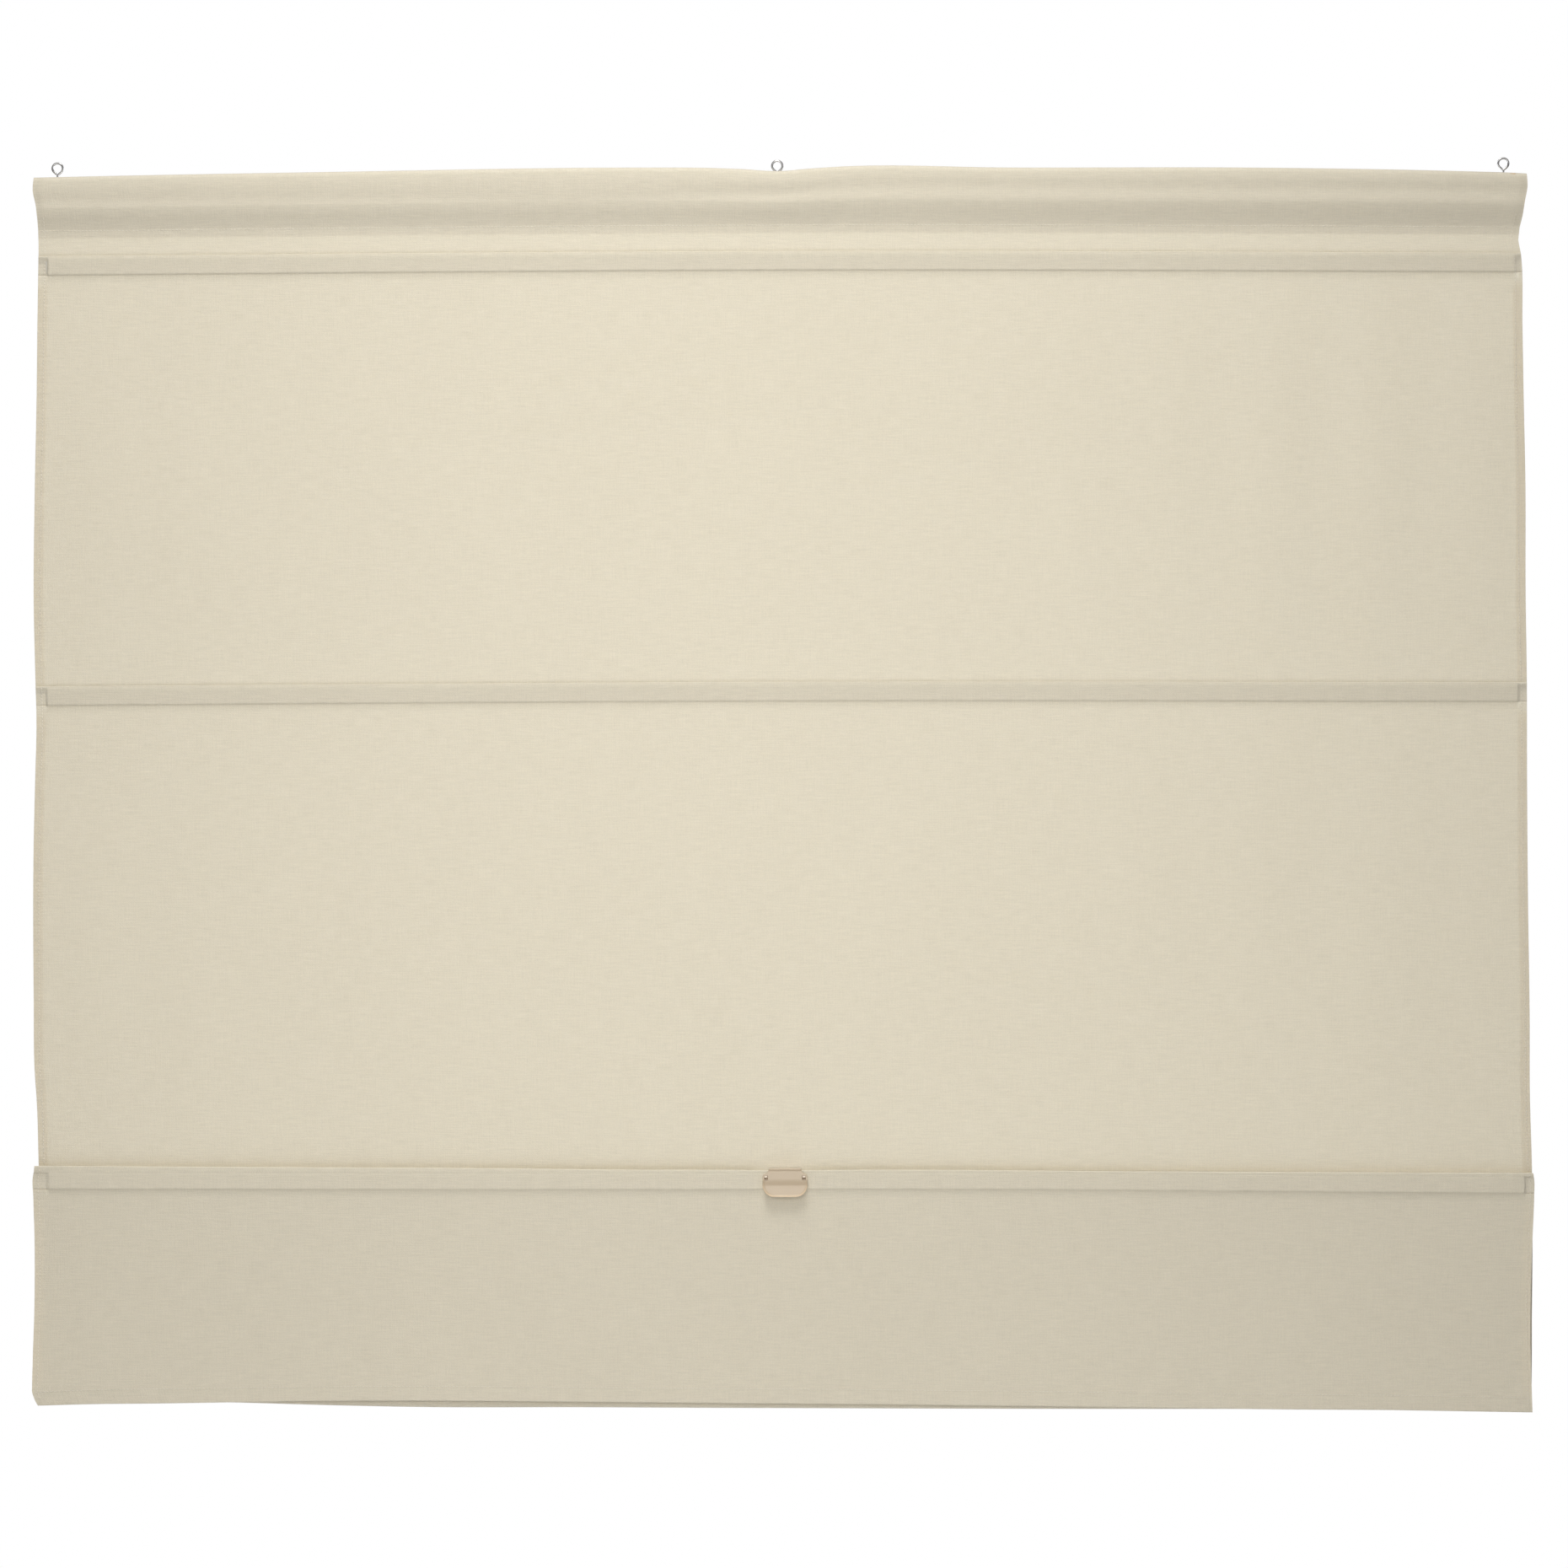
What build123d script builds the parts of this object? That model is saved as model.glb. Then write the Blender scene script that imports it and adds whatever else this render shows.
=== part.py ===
"""Cordless roman blind, hung from three screw eyes, with its lowest pleat clipped up.

Millimetres. +X runs along the width, +Z is up, and the front of the blind faces -Y.
The origin is the centre of the middle screw eye's ring. Heights are given as drops
below it, because the blind hangs from there.

The cloth is one piece. Its section across the width is a strip of even thickness that
follows a centreline of straight runs and arcs: up the back of the top casing, over the
batten, down the front, out into a tuck behind each slat, round the bottom of the pleat,
up to the fold at slat 4 and down the front panel to the hem.
"""
from build123d import *
import math
import os

# ---------------------------------------------------------------- driving dimensions
# cloth
cloth_width = 1400.0        # finished width, hem to hem
cloth_thickness = 0.5
layer_gap = 0.12            # air between two layers that lie on each other
middle_x = 3.0              # the cloth's middle lies this far right of the middle eye
side_hem_width = 9.0        # the sides are turned twice to the back
pocket_clearance = 0.1      # air between a slat or the batten's edges and its cloth

# top casing
casing_rise = 1.6           # the cloth's top stands this far above the batten
casing_slack = 0.4          # air between the batten's faces and the cloth
casing_stitch_drop = 61.0
casing_turn = 4.0           # the back layer ends this far below and above the stitches
eye_hole_diameter = 4.0     # holes in the casing for the eyes' shanks

# batten
batten_end_inset = 10.0     # cloth's edge to the batten's end
batten_height = 25.5
batten_thickness = 10.0
batten_drop = 9.5           # ring centre to the batten's top edge
batten_edge_radius = 1.5

# screw eyes
eye_wire = 1.95
eye_ring_diameter = 9.66    # centreline of the ring
eye_neck_drop = 6.3         # ring centre to the point where both sides of the loop meet
eye_neck_radius = 1.5
eye_shank_length = 18.0     # neck to tip
eye_tip_length = 2.5
eye_loop_gap = 0.28         # air between the loop's free end and the neck
side_eye_inset = 21.0       # cloth's edge to the side eyes
eye_hole_clearance = 0.02   # pilot hole in the batten, on the radius

# slats and their tucks
slat_end_inset = 10.0       # cloth's edge to the slats' ends
slat_width = 15.0
slat_thickness = 3.0
slat_edge_radius = 0.8
slat_end_radius = 1.5
tuck_relief = 1.6           # how far the cloth is pushed forward over a slat
tuck_slope = 0.7            # fall of the cloth over the slat's top, for each step back
tuck_fade = 9.0             # height over which it falls back below the slat
first_seam_drop = 82.4
upper_panel_height = 405.0  # seam 1 to seam 2
middle_panel_height = 457.1  # seam 2 to seam 3

# folded pleat and front panel
fold_rise = 1.5             # the clipped-up fold stands this far above seam 3
pleat_height = 223.0
front_panel_height = 220.5
hem_depth = 15.0
hem_raw_edge_inset = 2.0
pleat_play = 0.25           # room for the clip between the pleat and slat 3's tuck
front_panel_play = 0.06     # air between slat 4's tuck and the pleat's middle layer

# clip that carries slat 4 on slat 3
clip_x = 3.9                # right of the middle eye
clip_wall = 1.5
clip_gap = 0.15             # air between the clip and the cloth
clip_bridge_width = 30.0
clip_front_width = 39.0
clip_front_length = 10.3
clip_rear_length = 13.0
hook_width = 10.0
hook_length = 13.0
hook_slit_clearance = 0.3
tongue_spacing = 35.6
tongue_width = 3.2
tongue_height = 3.0
tongue_drop = 6.6           # fold edge to the tongues' middle
tongue_proud = 0.5          # beyond the grip's face
clip_edge_radius = 0.4

# grip that snaps on the clip
grip_width = 42.0
grip_shoulder_drop = 2.2    # fold edge to the top of the lobes beside the neck
grip_height = 22.6          # shoulders to lip
grip_shoulder_radius = 2.0
grip_neck_radius = 2.4      # concave corners between the neck and the lobes
grip_top_radius = 1.3       # front edge at the top of the neck
grip_corner_radius = 11.0
grip_wall = 2.0
grip_rim_wall = 3.4
grip_rim_width = 2.0
grip_bend_drop = 10.5       # fold edge to the bend where the lip turns outwards
grip_bend_radius = 5.0
grip_lip_reach = 6.0
grip_clearance = 0.1        # air between the grip and the clip's front leg
window_clearance = 0.2      # round each tongue

# ---------------------------------------------------------------- derived sizes
half_cloth = cloth_thickness / 2
layer_pitch = cloth_thickness + layer_gap
turn_radius = 0.48 * layer_pitch
fold_radius = slat_edge_radius + pocket_clearance + half_cloth

batten_length = cloth_width - 2 * batten_end_inset
slat_length = cloth_width - 2 * slat_end_inset
side_eye_offset = cloth_width / 2 - side_eye_inset

# depths: the tuck's far side, then the pleat's middle layer and the front panel
slat_sleeve = 2 * (half_cloth + pocket_clearance) + slat_thickness
tuck_back = layer_pitch - tuck_relief + slat_sleeve
seam_bend = 0.3
slat_inset = seam_bend + tuck_slope * tuck_back
rear_y = 0.0
middle_y = rear_y - tuck_relief - cloth_thickness - clip_wall - clip_gap - pleat_play
panel_y = middle_y - tuck_back - layer_pitch - front_panel_play

batten_top = -batten_drop
batten_bottom = batten_top - batten_height
casing_y = batten_thickness / 2 + casing_slack + half_cloth
casing_top = batten_top + casing_rise

second_seam_drop = first_seam_drop + upper_panel_height
third_seam_drop = second_seam_drop + middle_panel_height
upper_seams = [-first_seam_drop, -second_seam_drop, -third_seam_drop]
fold_top = upper_seams[-1] + fold_rise
fold_seam = fold_top - half_cloth
pleat_bottom = fold_top - pleat_height
hem_edge = fold_top - front_panel_height

eye_places = {
    "left": middle_x - side_eye_offset,
    "centre": 0.0,
    "right": middle_x + side_eye_offset,
}


# ---------------------------------------------------------------- cloth
def unit(start, end):
    """Direction from one centreline point to the next."""
    dy = end[0] - start[0]
    dz = end[1] - start[1]
    length = math.hypot(dy, dz)
    return dy / length, dz / length


def side_of_strip(corners, distance):
    """Corner points and bend radii of a line parallel to the centreline.

    corners are (y, z, bend radius); distance is to the left of the way they run."""
    points = []
    radii = []
    last = len(corners) - 1
    for index, (y, z, radius) in enumerate(corners):
        if index in (0, last):
            along = unit(corners[max(index - 1, 0)], corners[max(index, 1)])
            points.append((y - along[1] * distance, z + along[0] * distance))
            continue
        before = unit(corners[index - 1], corners[index])
        after = unit(corners[index], corners[index + 1])
        turn = before[0] * after[1] - before[1] * after[0]
        spread = 1 + before[0] * after[0] + before[1] * after[1]
        mitre_y = -(before[1] + after[1]) / spread
        mitre_z = (before[0] + after[0]) / spread
        points.append((y + mitre_y * distance, z + mitre_z * distance))
        radii.append(radius - distance * math.copysign(1, turn))
    return points, radii


def strip(corners, thickness):
    """A section in the YZ plane: a strip of even thickness along the centreline."""
    left, left_radii = side_of_strip(corners, thickness / 2)
    right, right_radii = side_of_strip(corners, -thickness / 2)
    with BuildSketch(Plane.YZ) as section:
        with BuildLine():
            FilletPolyline(*left, radius=left_radii)
            FilletPolyline(*right, radius=right_radii)
            Line(left[0], right[0])
            Line(left[-1], right[-1])
        make_face()
    return section.sketch


def slat_place(plane_y, seam_z):
    """Front face and top edge of the slat in the tuck at this seam."""
    near_y = plane_y - tuck_relief + layer_pitch
    return near_y + half_cloth + pocket_clearance, seam_z - slat_inset


def tuck(plane_y, seam_z):
    """Centreline from the back of a tuck, round its slat, to the cloth below the slat."""
    front_y = plane_y - tuck_relief
    near_y = front_y + layer_pitch
    far_y = plane_y + tuck_back
    slat_bottom = seam_z - slat_inset - slat_width
    fold_z = slat_bottom - pocket_clearance - half_cloth
    neck_y = plane_y - layer_pitch
    bend_radius = 0.9
    neck_z = seam_z - 0.9
    swell_z = seam_z - 2.2
    return [
        (far_y, seam_z - slat_inset, bend_radius),
        (far_y, fold_z, fold_radius),
        (near_y, fold_z, fold_radius),
        (near_y, swell_z, bend_radius),
        (neck_y, neck_z, bend_radius),
        (neck_y, seam_z, turn_radius),
        (neck_y - layer_pitch, seam_z, turn_radius),
        (neck_y - layer_pitch, neck_z, bend_radius),
        (front_y, swell_z, bend_radius),
        (front_y, slat_bottom, 1.5),
        (plane_y, slat_bottom - tuck_fade, 12.0),
    ]


def casing_corners():
    """From the raw edge inside the casing's back, over the batten, to the front stitches."""
    stitch = -casing_stitch_drop
    inner_y = rear_y + layer_pitch
    back_y = inner_y + layer_pitch
    shoulder = 5.0
    return [
        (inner_y, stitch + casing_turn, 0),
        (inner_y, stitch - casing_turn, turn_radius),
        (back_y, stitch - casing_turn, turn_radius),
        (back_y, stitch + casing_turn, 8.0),
        (casing_y, batten_bottom - 2.0, 8.0),
        (casing_y, casing_top - shoulder * 0.35, shoulder * 0.6),
        (casing_y * 0.45, casing_top, 3.0),
        (-casing_y * 0.45, casing_top, 3.0),
        (-casing_y, casing_top - shoulder * 0.35, shoulder * 0.6),
        (-casing_y, batten_bottom - 2.0, 8.0),
        (rear_y, stitch + casing_turn, 8.0),
    ]


def pleat_top_corners():
    """Up the pleat's middle layer and over to the back of slat 4's tuck."""
    far_top = tuck(panel_y, fold_seam)[0]
    nose = (panel_y + 0.3, fold_seam - 0.5)
    along = unit(nose, far_top)
    lift = (-along[1] * layer_pitch, along[0] * layer_pitch)
    upper_nose = (nose[0] + lift[0], nose[1] + lift[1])
    reach = (middle_y - upper_nose[0]) / along[0]
    bend_z = upper_nose[1] + along[1] * reach
    return [
        (middle_y, bend_z, 1.0),
        (upper_nose[0], upper_nose[1], turn_radius),
        (nose[0], nose[1], turn_radius),
    ]


def hem_corners():
    """Down to the hem's edge, up its back and down again inside it."""
    edge = hem_edge + half_cloth
    top = hem_edge + hem_depth
    inner_y = panel_y + layer_pitch
    back_y = inner_y + layer_pitch
    return [
        (panel_y, edge, 0.96 * layer_pitch),
        (back_y, edge, 0.96 * layer_pitch),
        (back_y, top, turn_radius),
        (inner_y, top, turn_radius),
        (inner_y, hem_edge + hem_raw_edge_inset, 0),
    ]


def cloth_corners():
    """The whole centreline, from the casing's raw edge to the hem's."""
    pleat_edge = pleat_bottom + half_cloth
    pleat_radius = 0.48 * (rear_y - middle_y)
    corners = casing_corners()
    for seam in upper_seams:
        corners.append((rear_y, seam - seam_bend, 0.5))
        corners += tuck(rear_y, seam)
    corners.append((rear_y, pleat_edge, pleat_radius))
    corners.append((middle_y, pleat_edge, pleat_radius))
    corners += pleat_top_corners()
    corners += tuck(panel_y, fold_seam)
    corners += hem_corners()
    return corners


def along_width(section, length):
    """Extrude a section of the YZ plane to both sides of the cloth's middle."""
    return Pos(middle_x, 0, 0) * extrude(section, amount=length / 2, both=True)


def side_hem(layer_y, low, high, back):
    """The two turned layers of both side hems on one flat run; back is +1 or -1 in Y."""
    thickness = 2 * cloth_thickness
    reach = cloth_width / 2 - side_hem_width / 2
    bar = Box(side_hem_width, thickness, high - low)
    depth = layer_y + back * (half_cloth + thickness / 2)
    height = (low + high) / 2
    return [Pos(middle_x + side * reach, depth, height) * bar for side in (-1, 1)]


def side_hems():
    """Side hems on every flat run of the cloth, always on its back."""
    below_tuck = slat_inset + slat_width + tuck_fade + 3.0
    clear = 3.0
    runs = []
    for seam, end in zip(upper_seams, upper_seams[1:] + [pleat_bottom]):
        runs += side_hem(rear_y, end + clear, seam - below_tuck, 1)
    runs += side_hem(middle_y, pleat_bottom + clear, fold_seam - below_tuck, -1)
    runs += side_hem(panel_y, hem_edge + hem_depth + clear, fold_seam - below_tuck, 1)
    return runs


def make_fabric():
    cloth = along_width(strip(cloth_corners(), cloth_thickness), cloth_width)
    for run in side_hems():
        cloth += run
    for x in eye_places.values():
        cloth -= Pos(x, 0, casing_top) * Cylinder(eye_hole_diameter / 2, 4 * cloth_thickness)
    slit_height = clip_wall + 2 * hook_slit_clearance
    slit_width = hook_width + 2 * hook_slit_clearance
    slit = Box(slit_width, 2 * cloth_thickness, slit_height)
    cloth -= Pos(clip_x, rear_y, hook_bottom() + clip_wall / 2) * slit
    return cloth


# ---------------------------------------------------------------- batten, eyes and slats
def bar(length, thickness, height, radius, end_radius):
    """A straight bar along X with rounded long edges and rounded ends."""
    with BuildSketch(Plane.YZ) as section:
        RectangleRounded(thickness, height, radius)
    body = extrude(section.sketch, amount=length / 2, both=True)
    with BuildSketch(Plane.XZ) as side:
        RectangleRounded(length, height, end_radius)
    return body & extrude(side.sketch, amount=thickness, both=True)


def make_batten():
    body = bar(batten_length, batten_thickness, batten_height,
               batten_edge_radius, batten_edge_radius)
    body = Pos(middle_x, 0, batten_top - batten_height / 2) * body
    hole_bottom = -eye_neck_drop - eye_shank_length - eye_hole_clearance
    depth = batten_top - hole_bottom
    radius = eye_wire / 2 + eye_hole_clearance
    for x in eye_places.values():
        body -= Pos(x, 0, batten_top - depth / 2) * Cylinder(radius, depth)
    return body


def make_slat(plane_y, seam_z):
    front, top = slat_place(plane_y, seam_z)
    body = bar(slat_length, slat_thickness, slat_width, slat_edge_radius, slat_end_radius)
    return Pos(middle_x, front + slat_thickness / 2, top - slat_width / 2) * body


def make_screw_eye(x):
    """A loop of wire closed to a teardrop, with a straight shank that ends in a point."""
    radius = eye_ring_diameter / 2
    wire_radius = eye_wire / 2
    slope = math.asin(radius / eye_neck_drop)
    setback = (wire_radius * (1 + math.cos(2 * slope)) + eye_loop_gap) / math.sin(2 * slope)
    touch = Vector(radius * math.cos(slope), 0, -radius * math.sin(slope))
    neck = Vector(0, 0, -eye_neck_drop)
    left_touch = Vector(-touch.X, 0, touch.Z)
    toward_neck = (neck - left_touch).normalized()
    free_end = neck - toward_neck * setback
    shank_end = Vector(0, 0, -eye_neck_drop - eye_shank_length + eye_tip_length)
    loop = Wire([
        Edge.make_line(free_end, left_touch),
        Edge.make_three_point_arc(left_touch, Vector(0, 0, radius), touch),
    ])
    with BuildLine(Plane.XZ) as lower:
        FilletPolyline((touch.X, touch.Z), (0, neck.Z), (0, shank_end.Z),
                       radius=eye_neck_radius)
    path = Wire(loop.edges() + lower.line.edges())
    start = Plane(origin=free_end, z_dir=(left_touch - free_end))
    wire = sweep(start * Circle(wire_radius), path=path)
    tip = Cone(wire_radius, 0.15, eye_tip_length)
    tip = Pos(0, 0, shank_end.Z - eye_tip_length / 2) * Rot(180, 0, 0) * tip
    return Pos(x, 0, 0) * (wire + tip)


# ---------------------------------------------------------------- clip and grip
def hook_bottom():
    """The hook's blade lies just above the top of slat 3's tuck."""
    return upper_seams[-1] + half_cloth + clip_gap


def bridge_top():
    """The clip's bridge lies on the fold."""
    return fold_top + clip_gap + clip_wall


def front_leg_back():
    """The back of the clip's front leg lies on the front panel over slat 4."""
    return panel_y - tuck_relief - half_cloth - clip_gap


def plate(width, y_low, y_high, z_low, z_high):
    """A flat block of the clip, centred on the clip's middle."""
    block = Box(width, y_high - y_low, z_high - z_low)
    return Pos(clip_x, (y_low + y_high) / 2, (z_low + z_high) / 2) * block


def make_clip():
    """Saddle over slat 4 with a hook behind that hangs on slat 3."""
    front = front_leg_back()
    bridge_high = bridge_top()
    bridge_low = bridge_high - clip_wall
    rear_front = middle_y + half_cloth + clip_gap
    rear_back = rear_front + clip_wall
    hook_front = rear_y + tuck_back + half_cloth + clip_gap
    hook_back = hook_front + clip_wall
    blade_low = hook_bottom()
    blade_high = blade_low + clip_wall
    body = plate(clip_bridge_width, front - clip_wall, rear_back, bridge_low, bridge_high)
    body = fillet(body.edges().filter_by(Axis.X).group_by(Axis.Z)[-1], clip_edge_radius)
    front_low = bridge_low - clip_front_length
    shoulder = fold_top - grip_shoulder_drop - grip_shoulder_radius
    body += plate(clip_bridge_width, front - clip_wall, front, front_low, bridge_low + 0.5)
    body += plate(clip_front_width, front - clip_wall, front, front_low, shoulder)
    rear_low = bridge_low - clip_rear_length
    body += plate(clip_bridge_width, rear_front, rear_back, rear_low, bridge_low + 0.5)
    body += plate(hook_width, rear_front, hook_back, blade_low, blade_high)
    body += plate(hook_width, hook_front, hook_back, blade_low - hook_length, blade_high)
    tongue_z = fold_top - tongue_drop
    tongue_tip = front - clip_wall - grip_clearance - grip_wall - tongue_proud
    tongue = Box(tongue_width, front - clip_wall - tongue_tip, tongue_height)
    tongue_y = (front - clip_wall + tongue_tip) / 2
    for side in (-1, 1):
        x = clip_x + side * tongue_spacing / 2
        body += Pos(x, tongue_y, tongue_z) * tongue
    return body


def grip_profile(thickness):
    """Side view of the grip: straight down, then out to the lip."""
    face_y = front_leg_back() - clip_wall - grip_clearance - grip_wall / 2
    bottom = fold_top - grip_shoulder_drop - grip_height
    bend = fold_top - grip_bend_drop
    beyond = 1.3    # the section runs past the outline that trims it
    drop = (bend - bottom) * beyond
    reach = grip_lip_reach * beyond
    corners = [
        (face_y, bridge_top(), 0),
        (face_y, bend, grip_bend_radius),
        (face_y - reach, bend - drop, 0),
    ]
    return extrude(strip(corners, thickness), amount=grip_width, both=True)


def grip_outline(inset):
    """Front view of the grip: a neck as wide as the clip's bridge above two round lobes."""
    neck = clip_bridge_width / 2 - inset
    half = grip_width / 2 - inset
    shoulder = fold_top - grip_shoulder_drop
    bottom = shoulder - grip_height + inset
    right = [(neck, bridge_top()), (neck, shoulder), (half, shoulder), (half, bottom)]
    left = [(-x, z) for x, z in reversed(right)]
    with BuildSketch(Plane.XZ) as outline:
        with BuildLine():
            Polyline(*right, *left, close=True)
        make_face()
        fillet(outline.vertices().group_by(Axis.Y)[0], grip_corner_radius - inset)
        shoulder_corners = outline.vertices().group_by(Axis.Y)[-2].sort_by(Axis.X)
        fillet([shoulder_corners[0], shoulder_corners[-1]], grip_shoulder_radius)
        neck_corners = outline.vertices().group_by(Axis.Y)[-2].sort_by(Axis.X)[1:-1]
        fillet(neck_corners, grip_neck_radius)
    return Pos(clip_x, 0, 0) * extrude(outline.sketch, amount=60.0, both=True)


def make_grip():
    outer = grip_outline(0)
    body = grip_profile(grip_wall) & outer
    top_edges = body.edges().filter_by(Axis.X).group_by(Axis.Z)[-1]
    body = fillet(top_edges.sort_by(Axis.Y)[0], grip_top_radius)
    rim_band = outer - grip_outline(grip_rim_width)
    rim_top = fold_top - grip_bend_drop
    below = Pos(clip_x, 0, rim_top - grip_height / 2) * Box(grip_width, 120.0, grip_height)
    body += grip_profile(grip_rim_wall) & rim_band & below
    depth = 8.0
    window = Box(tongue_width + 2 * window_clearance, depth, tongue_height + 2 * window_clearance)
    for side in (-1, 1):
        x = clip_x + side * tongue_spacing / 2
        body -= Pos(x, front_leg_back() - clip_wall - depth / 2, fold_top - tongue_drop) * window
    return body


# ---------------------------------------------------------------- all pieces
def all_pieces():
    pieces = {"fabric": make_fabric(), "top_batten": make_batten()}
    for side, x in eye_places.items():
        pieces[f"screw_eye_{side}"] = make_screw_eye(x)
    for number, seam in enumerate(upper_seams, start=1):
        pieces[f"slat_{number}"] = make_slat(rear_y, seam)
    pieces[f"slat_{len(upper_seams) + 1}"] = make_slat(panel_y, fold_seam)
    pieces["hook_clip"] = make_clip()
    pieces["pull_grip"] = make_grip()
    return pieces


os.makedirs("parts", exist_ok=True)
for name, piece in all_pieces().items():
    export_step(piece, f"parts/{name}.step")
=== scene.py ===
# Roman blind: its cloth, slats, screw eyes, clip and grip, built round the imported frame.
# Places come from the frame's boxes. Sizes are millimetres in the frame's axes, and turn
# into metres when a mesh is made. The blind hangs from the middle eye, at the origin.
import math

import bmesh
import bpy
import numpy as np
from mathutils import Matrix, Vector


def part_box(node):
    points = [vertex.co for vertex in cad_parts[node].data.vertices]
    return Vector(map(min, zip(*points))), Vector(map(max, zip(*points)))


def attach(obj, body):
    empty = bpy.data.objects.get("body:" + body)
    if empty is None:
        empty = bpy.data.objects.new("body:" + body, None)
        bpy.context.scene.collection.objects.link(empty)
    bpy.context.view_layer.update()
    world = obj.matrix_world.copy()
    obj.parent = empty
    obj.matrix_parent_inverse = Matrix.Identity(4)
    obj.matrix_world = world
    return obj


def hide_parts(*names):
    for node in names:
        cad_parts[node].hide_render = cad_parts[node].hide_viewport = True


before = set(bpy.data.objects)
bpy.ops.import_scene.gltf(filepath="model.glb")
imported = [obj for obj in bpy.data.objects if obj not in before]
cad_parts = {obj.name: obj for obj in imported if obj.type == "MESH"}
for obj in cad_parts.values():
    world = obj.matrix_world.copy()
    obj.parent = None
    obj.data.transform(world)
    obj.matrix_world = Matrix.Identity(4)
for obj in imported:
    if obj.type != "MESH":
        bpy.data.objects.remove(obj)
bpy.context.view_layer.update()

MM = 0.001
BODY = "root"


def box_mm(node):
    """Lowest and highest corner of a CAD node, in millimetres."""
    low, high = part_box(node)
    return np.array(low) / MM, np.array(high) / MM


# ---------------------------------------------------------------- sizes and places
cloth_low, cloth_high = box_mm("fabric")
batten_low, batten_high = box_mm("top_batten")
slat_boxes = {name: box_mm(name) for name in ("slat_1", "slat_2", "slat_3", "slat_4")}
eye_boxes = {name: box_mm(f"screw_eye_{name}") for name in ("left", "centre", "right")}
eye_places = {name: float(low[0] + high[0]) / 2 for name, (low, high) in eye_boxes.items()}
clip_low, clip_high = box_mm("hook_clip")
grip_low, grip_high = box_mm("pull_grip")

middle_x = float(cloth_low[0] + cloth_high[0]) / 2
half_width = float(cloth_high[0] - cloth_low[0]) / 2
left_x = middle_x - half_width
right_x = middle_x + half_width
clip_x = float(clip_low[0] + clip_high[0]) / 2
clip_low_face = -10.9       # front face of the clip's front leg
slat_half = float(slat_boxes["slat_1"][1][0] - slat_boxes["slat_1"][0][0]) / 2

cloth_thickness = 0.5
half_cloth = cloth_thickness / 2
layer_pitch = 0.62          # one layer of cloth and the air to the next
turn_radius = 0.48 * layer_pitch
side_hem_width = 9.0
slat_thickness = 3.0
slat_width = float(slat_boxes["slat_1"][1][2] - slat_boxes["slat_1"][0][2])
pocket_clearance = 0.1
fold_radius = 1.15          # round a slat's lower edge
tuck_relief = 1.6           # the cloth stands this far forward over a slat
tuck_back = layer_pitch - tuck_relief + slat_thickness + 2 * (half_cloth + pocket_clearance)
slat_inset = 0.3 + 0.7 * tuck_back      # seam to the slat's top
upper_slats = ("slat_1", "slat_2", "slat_3")
seams = [float(slat_boxes[name][1][2]) + slat_inset for name in upper_slats]
fold_seam = float(slat_boxes["slat_4"][1][2]) + slat_inset
fold_top = fold_seam + half_cloth
slat_drop = slat_inset + slat_width     # seam to the slat's bottom
panel_y = float(slat_boxes["slat_4"][0][1] - slat_boxes["slat_1"][0][1])
middle_y = panel_y + tuck_back + layer_pitch + 0.06
batten_bottom = float(batten_low[2])
casing_y = float(batten_high[1]) + 0.65
casing_top = float(batten_high[2]) + 1.6
casing_stitch = seams[0] + 21.4
casing_turn = 4.0
pleat_bottom = float(cloth_low[2])
front_panel_height = 220.5
hem_edge = fold_top - front_panel_height
hem_depth = 15.0


# ---------------------------------------------------------------- small helpers
def through(points, at):
    """A smooth line through a few chosen (place, value) points."""
    places, values = np.array(points, dtype=float).T
    slopes = np.gradient(values, places)
    at = np.clip(np.asarray(at, dtype=float), places[0], places[-1])
    index = np.clip(np.searchsorted(places, at) - 1, 0, len(places) - 2)
    span = places[index + 1] - places[index]
    t = (at - places[index]) / span
    t2 = t * t
    t3 = t2 * t
    return ((2 * t3 - 3 * t2 + 1) * values[index] + (t3 - 2 * t2 + t) * span * slopes[index]
            + (3 * t2 - 2 * t3) * values[index + 1] + (t3 - t2) * span * slopes[index + 1])


def ramp(low, high, value):
    """0 below low, 1 above high, and smooth between them."""
    t = np.clip((np.asarray(value, dtype=float) - low) / (high - low), 0, 1)
    return t * t * (3 - 2 * t)


def bell(value, centre, width):
    """1 at centre, and 0 a few widths away."""
    return np.exp(-((np.asarray(value, dtype=float) - centre) / width) ** 2)


def add_object(name, data):
    """A new object with this data, in the scene."""
    thing = bpy.data.objects.new(name, data)
    bpy.context.scene.collection.objects.link(thing)
    return thing


def new_piece(name, vertices_mm, faces, material, sharp_degrees=35.0):
    """A closed mesh in millimetres becomes a smooth-shaded piece in metres."""
    mesh = bpy.data.meshes.new(name)
    mesh.from_pydata((np.asarray(vertices_mm) * MM).tolist(), [], faces)
    tidy = bmesh.new()
    tidy.from_mesh(mesh)
    bmesh.ops.recalc_face_normals(tidy, faces=tidy.faces)
    tidy.to_mesh(mesh)
    tidy.free()
    mesh.materials.append(material)
    mesh.shade_smooth()
    mesh.set_sharp_from_angle(angle=math.radians(sharp_degrees))
    return add_object(name, mesh)


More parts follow.
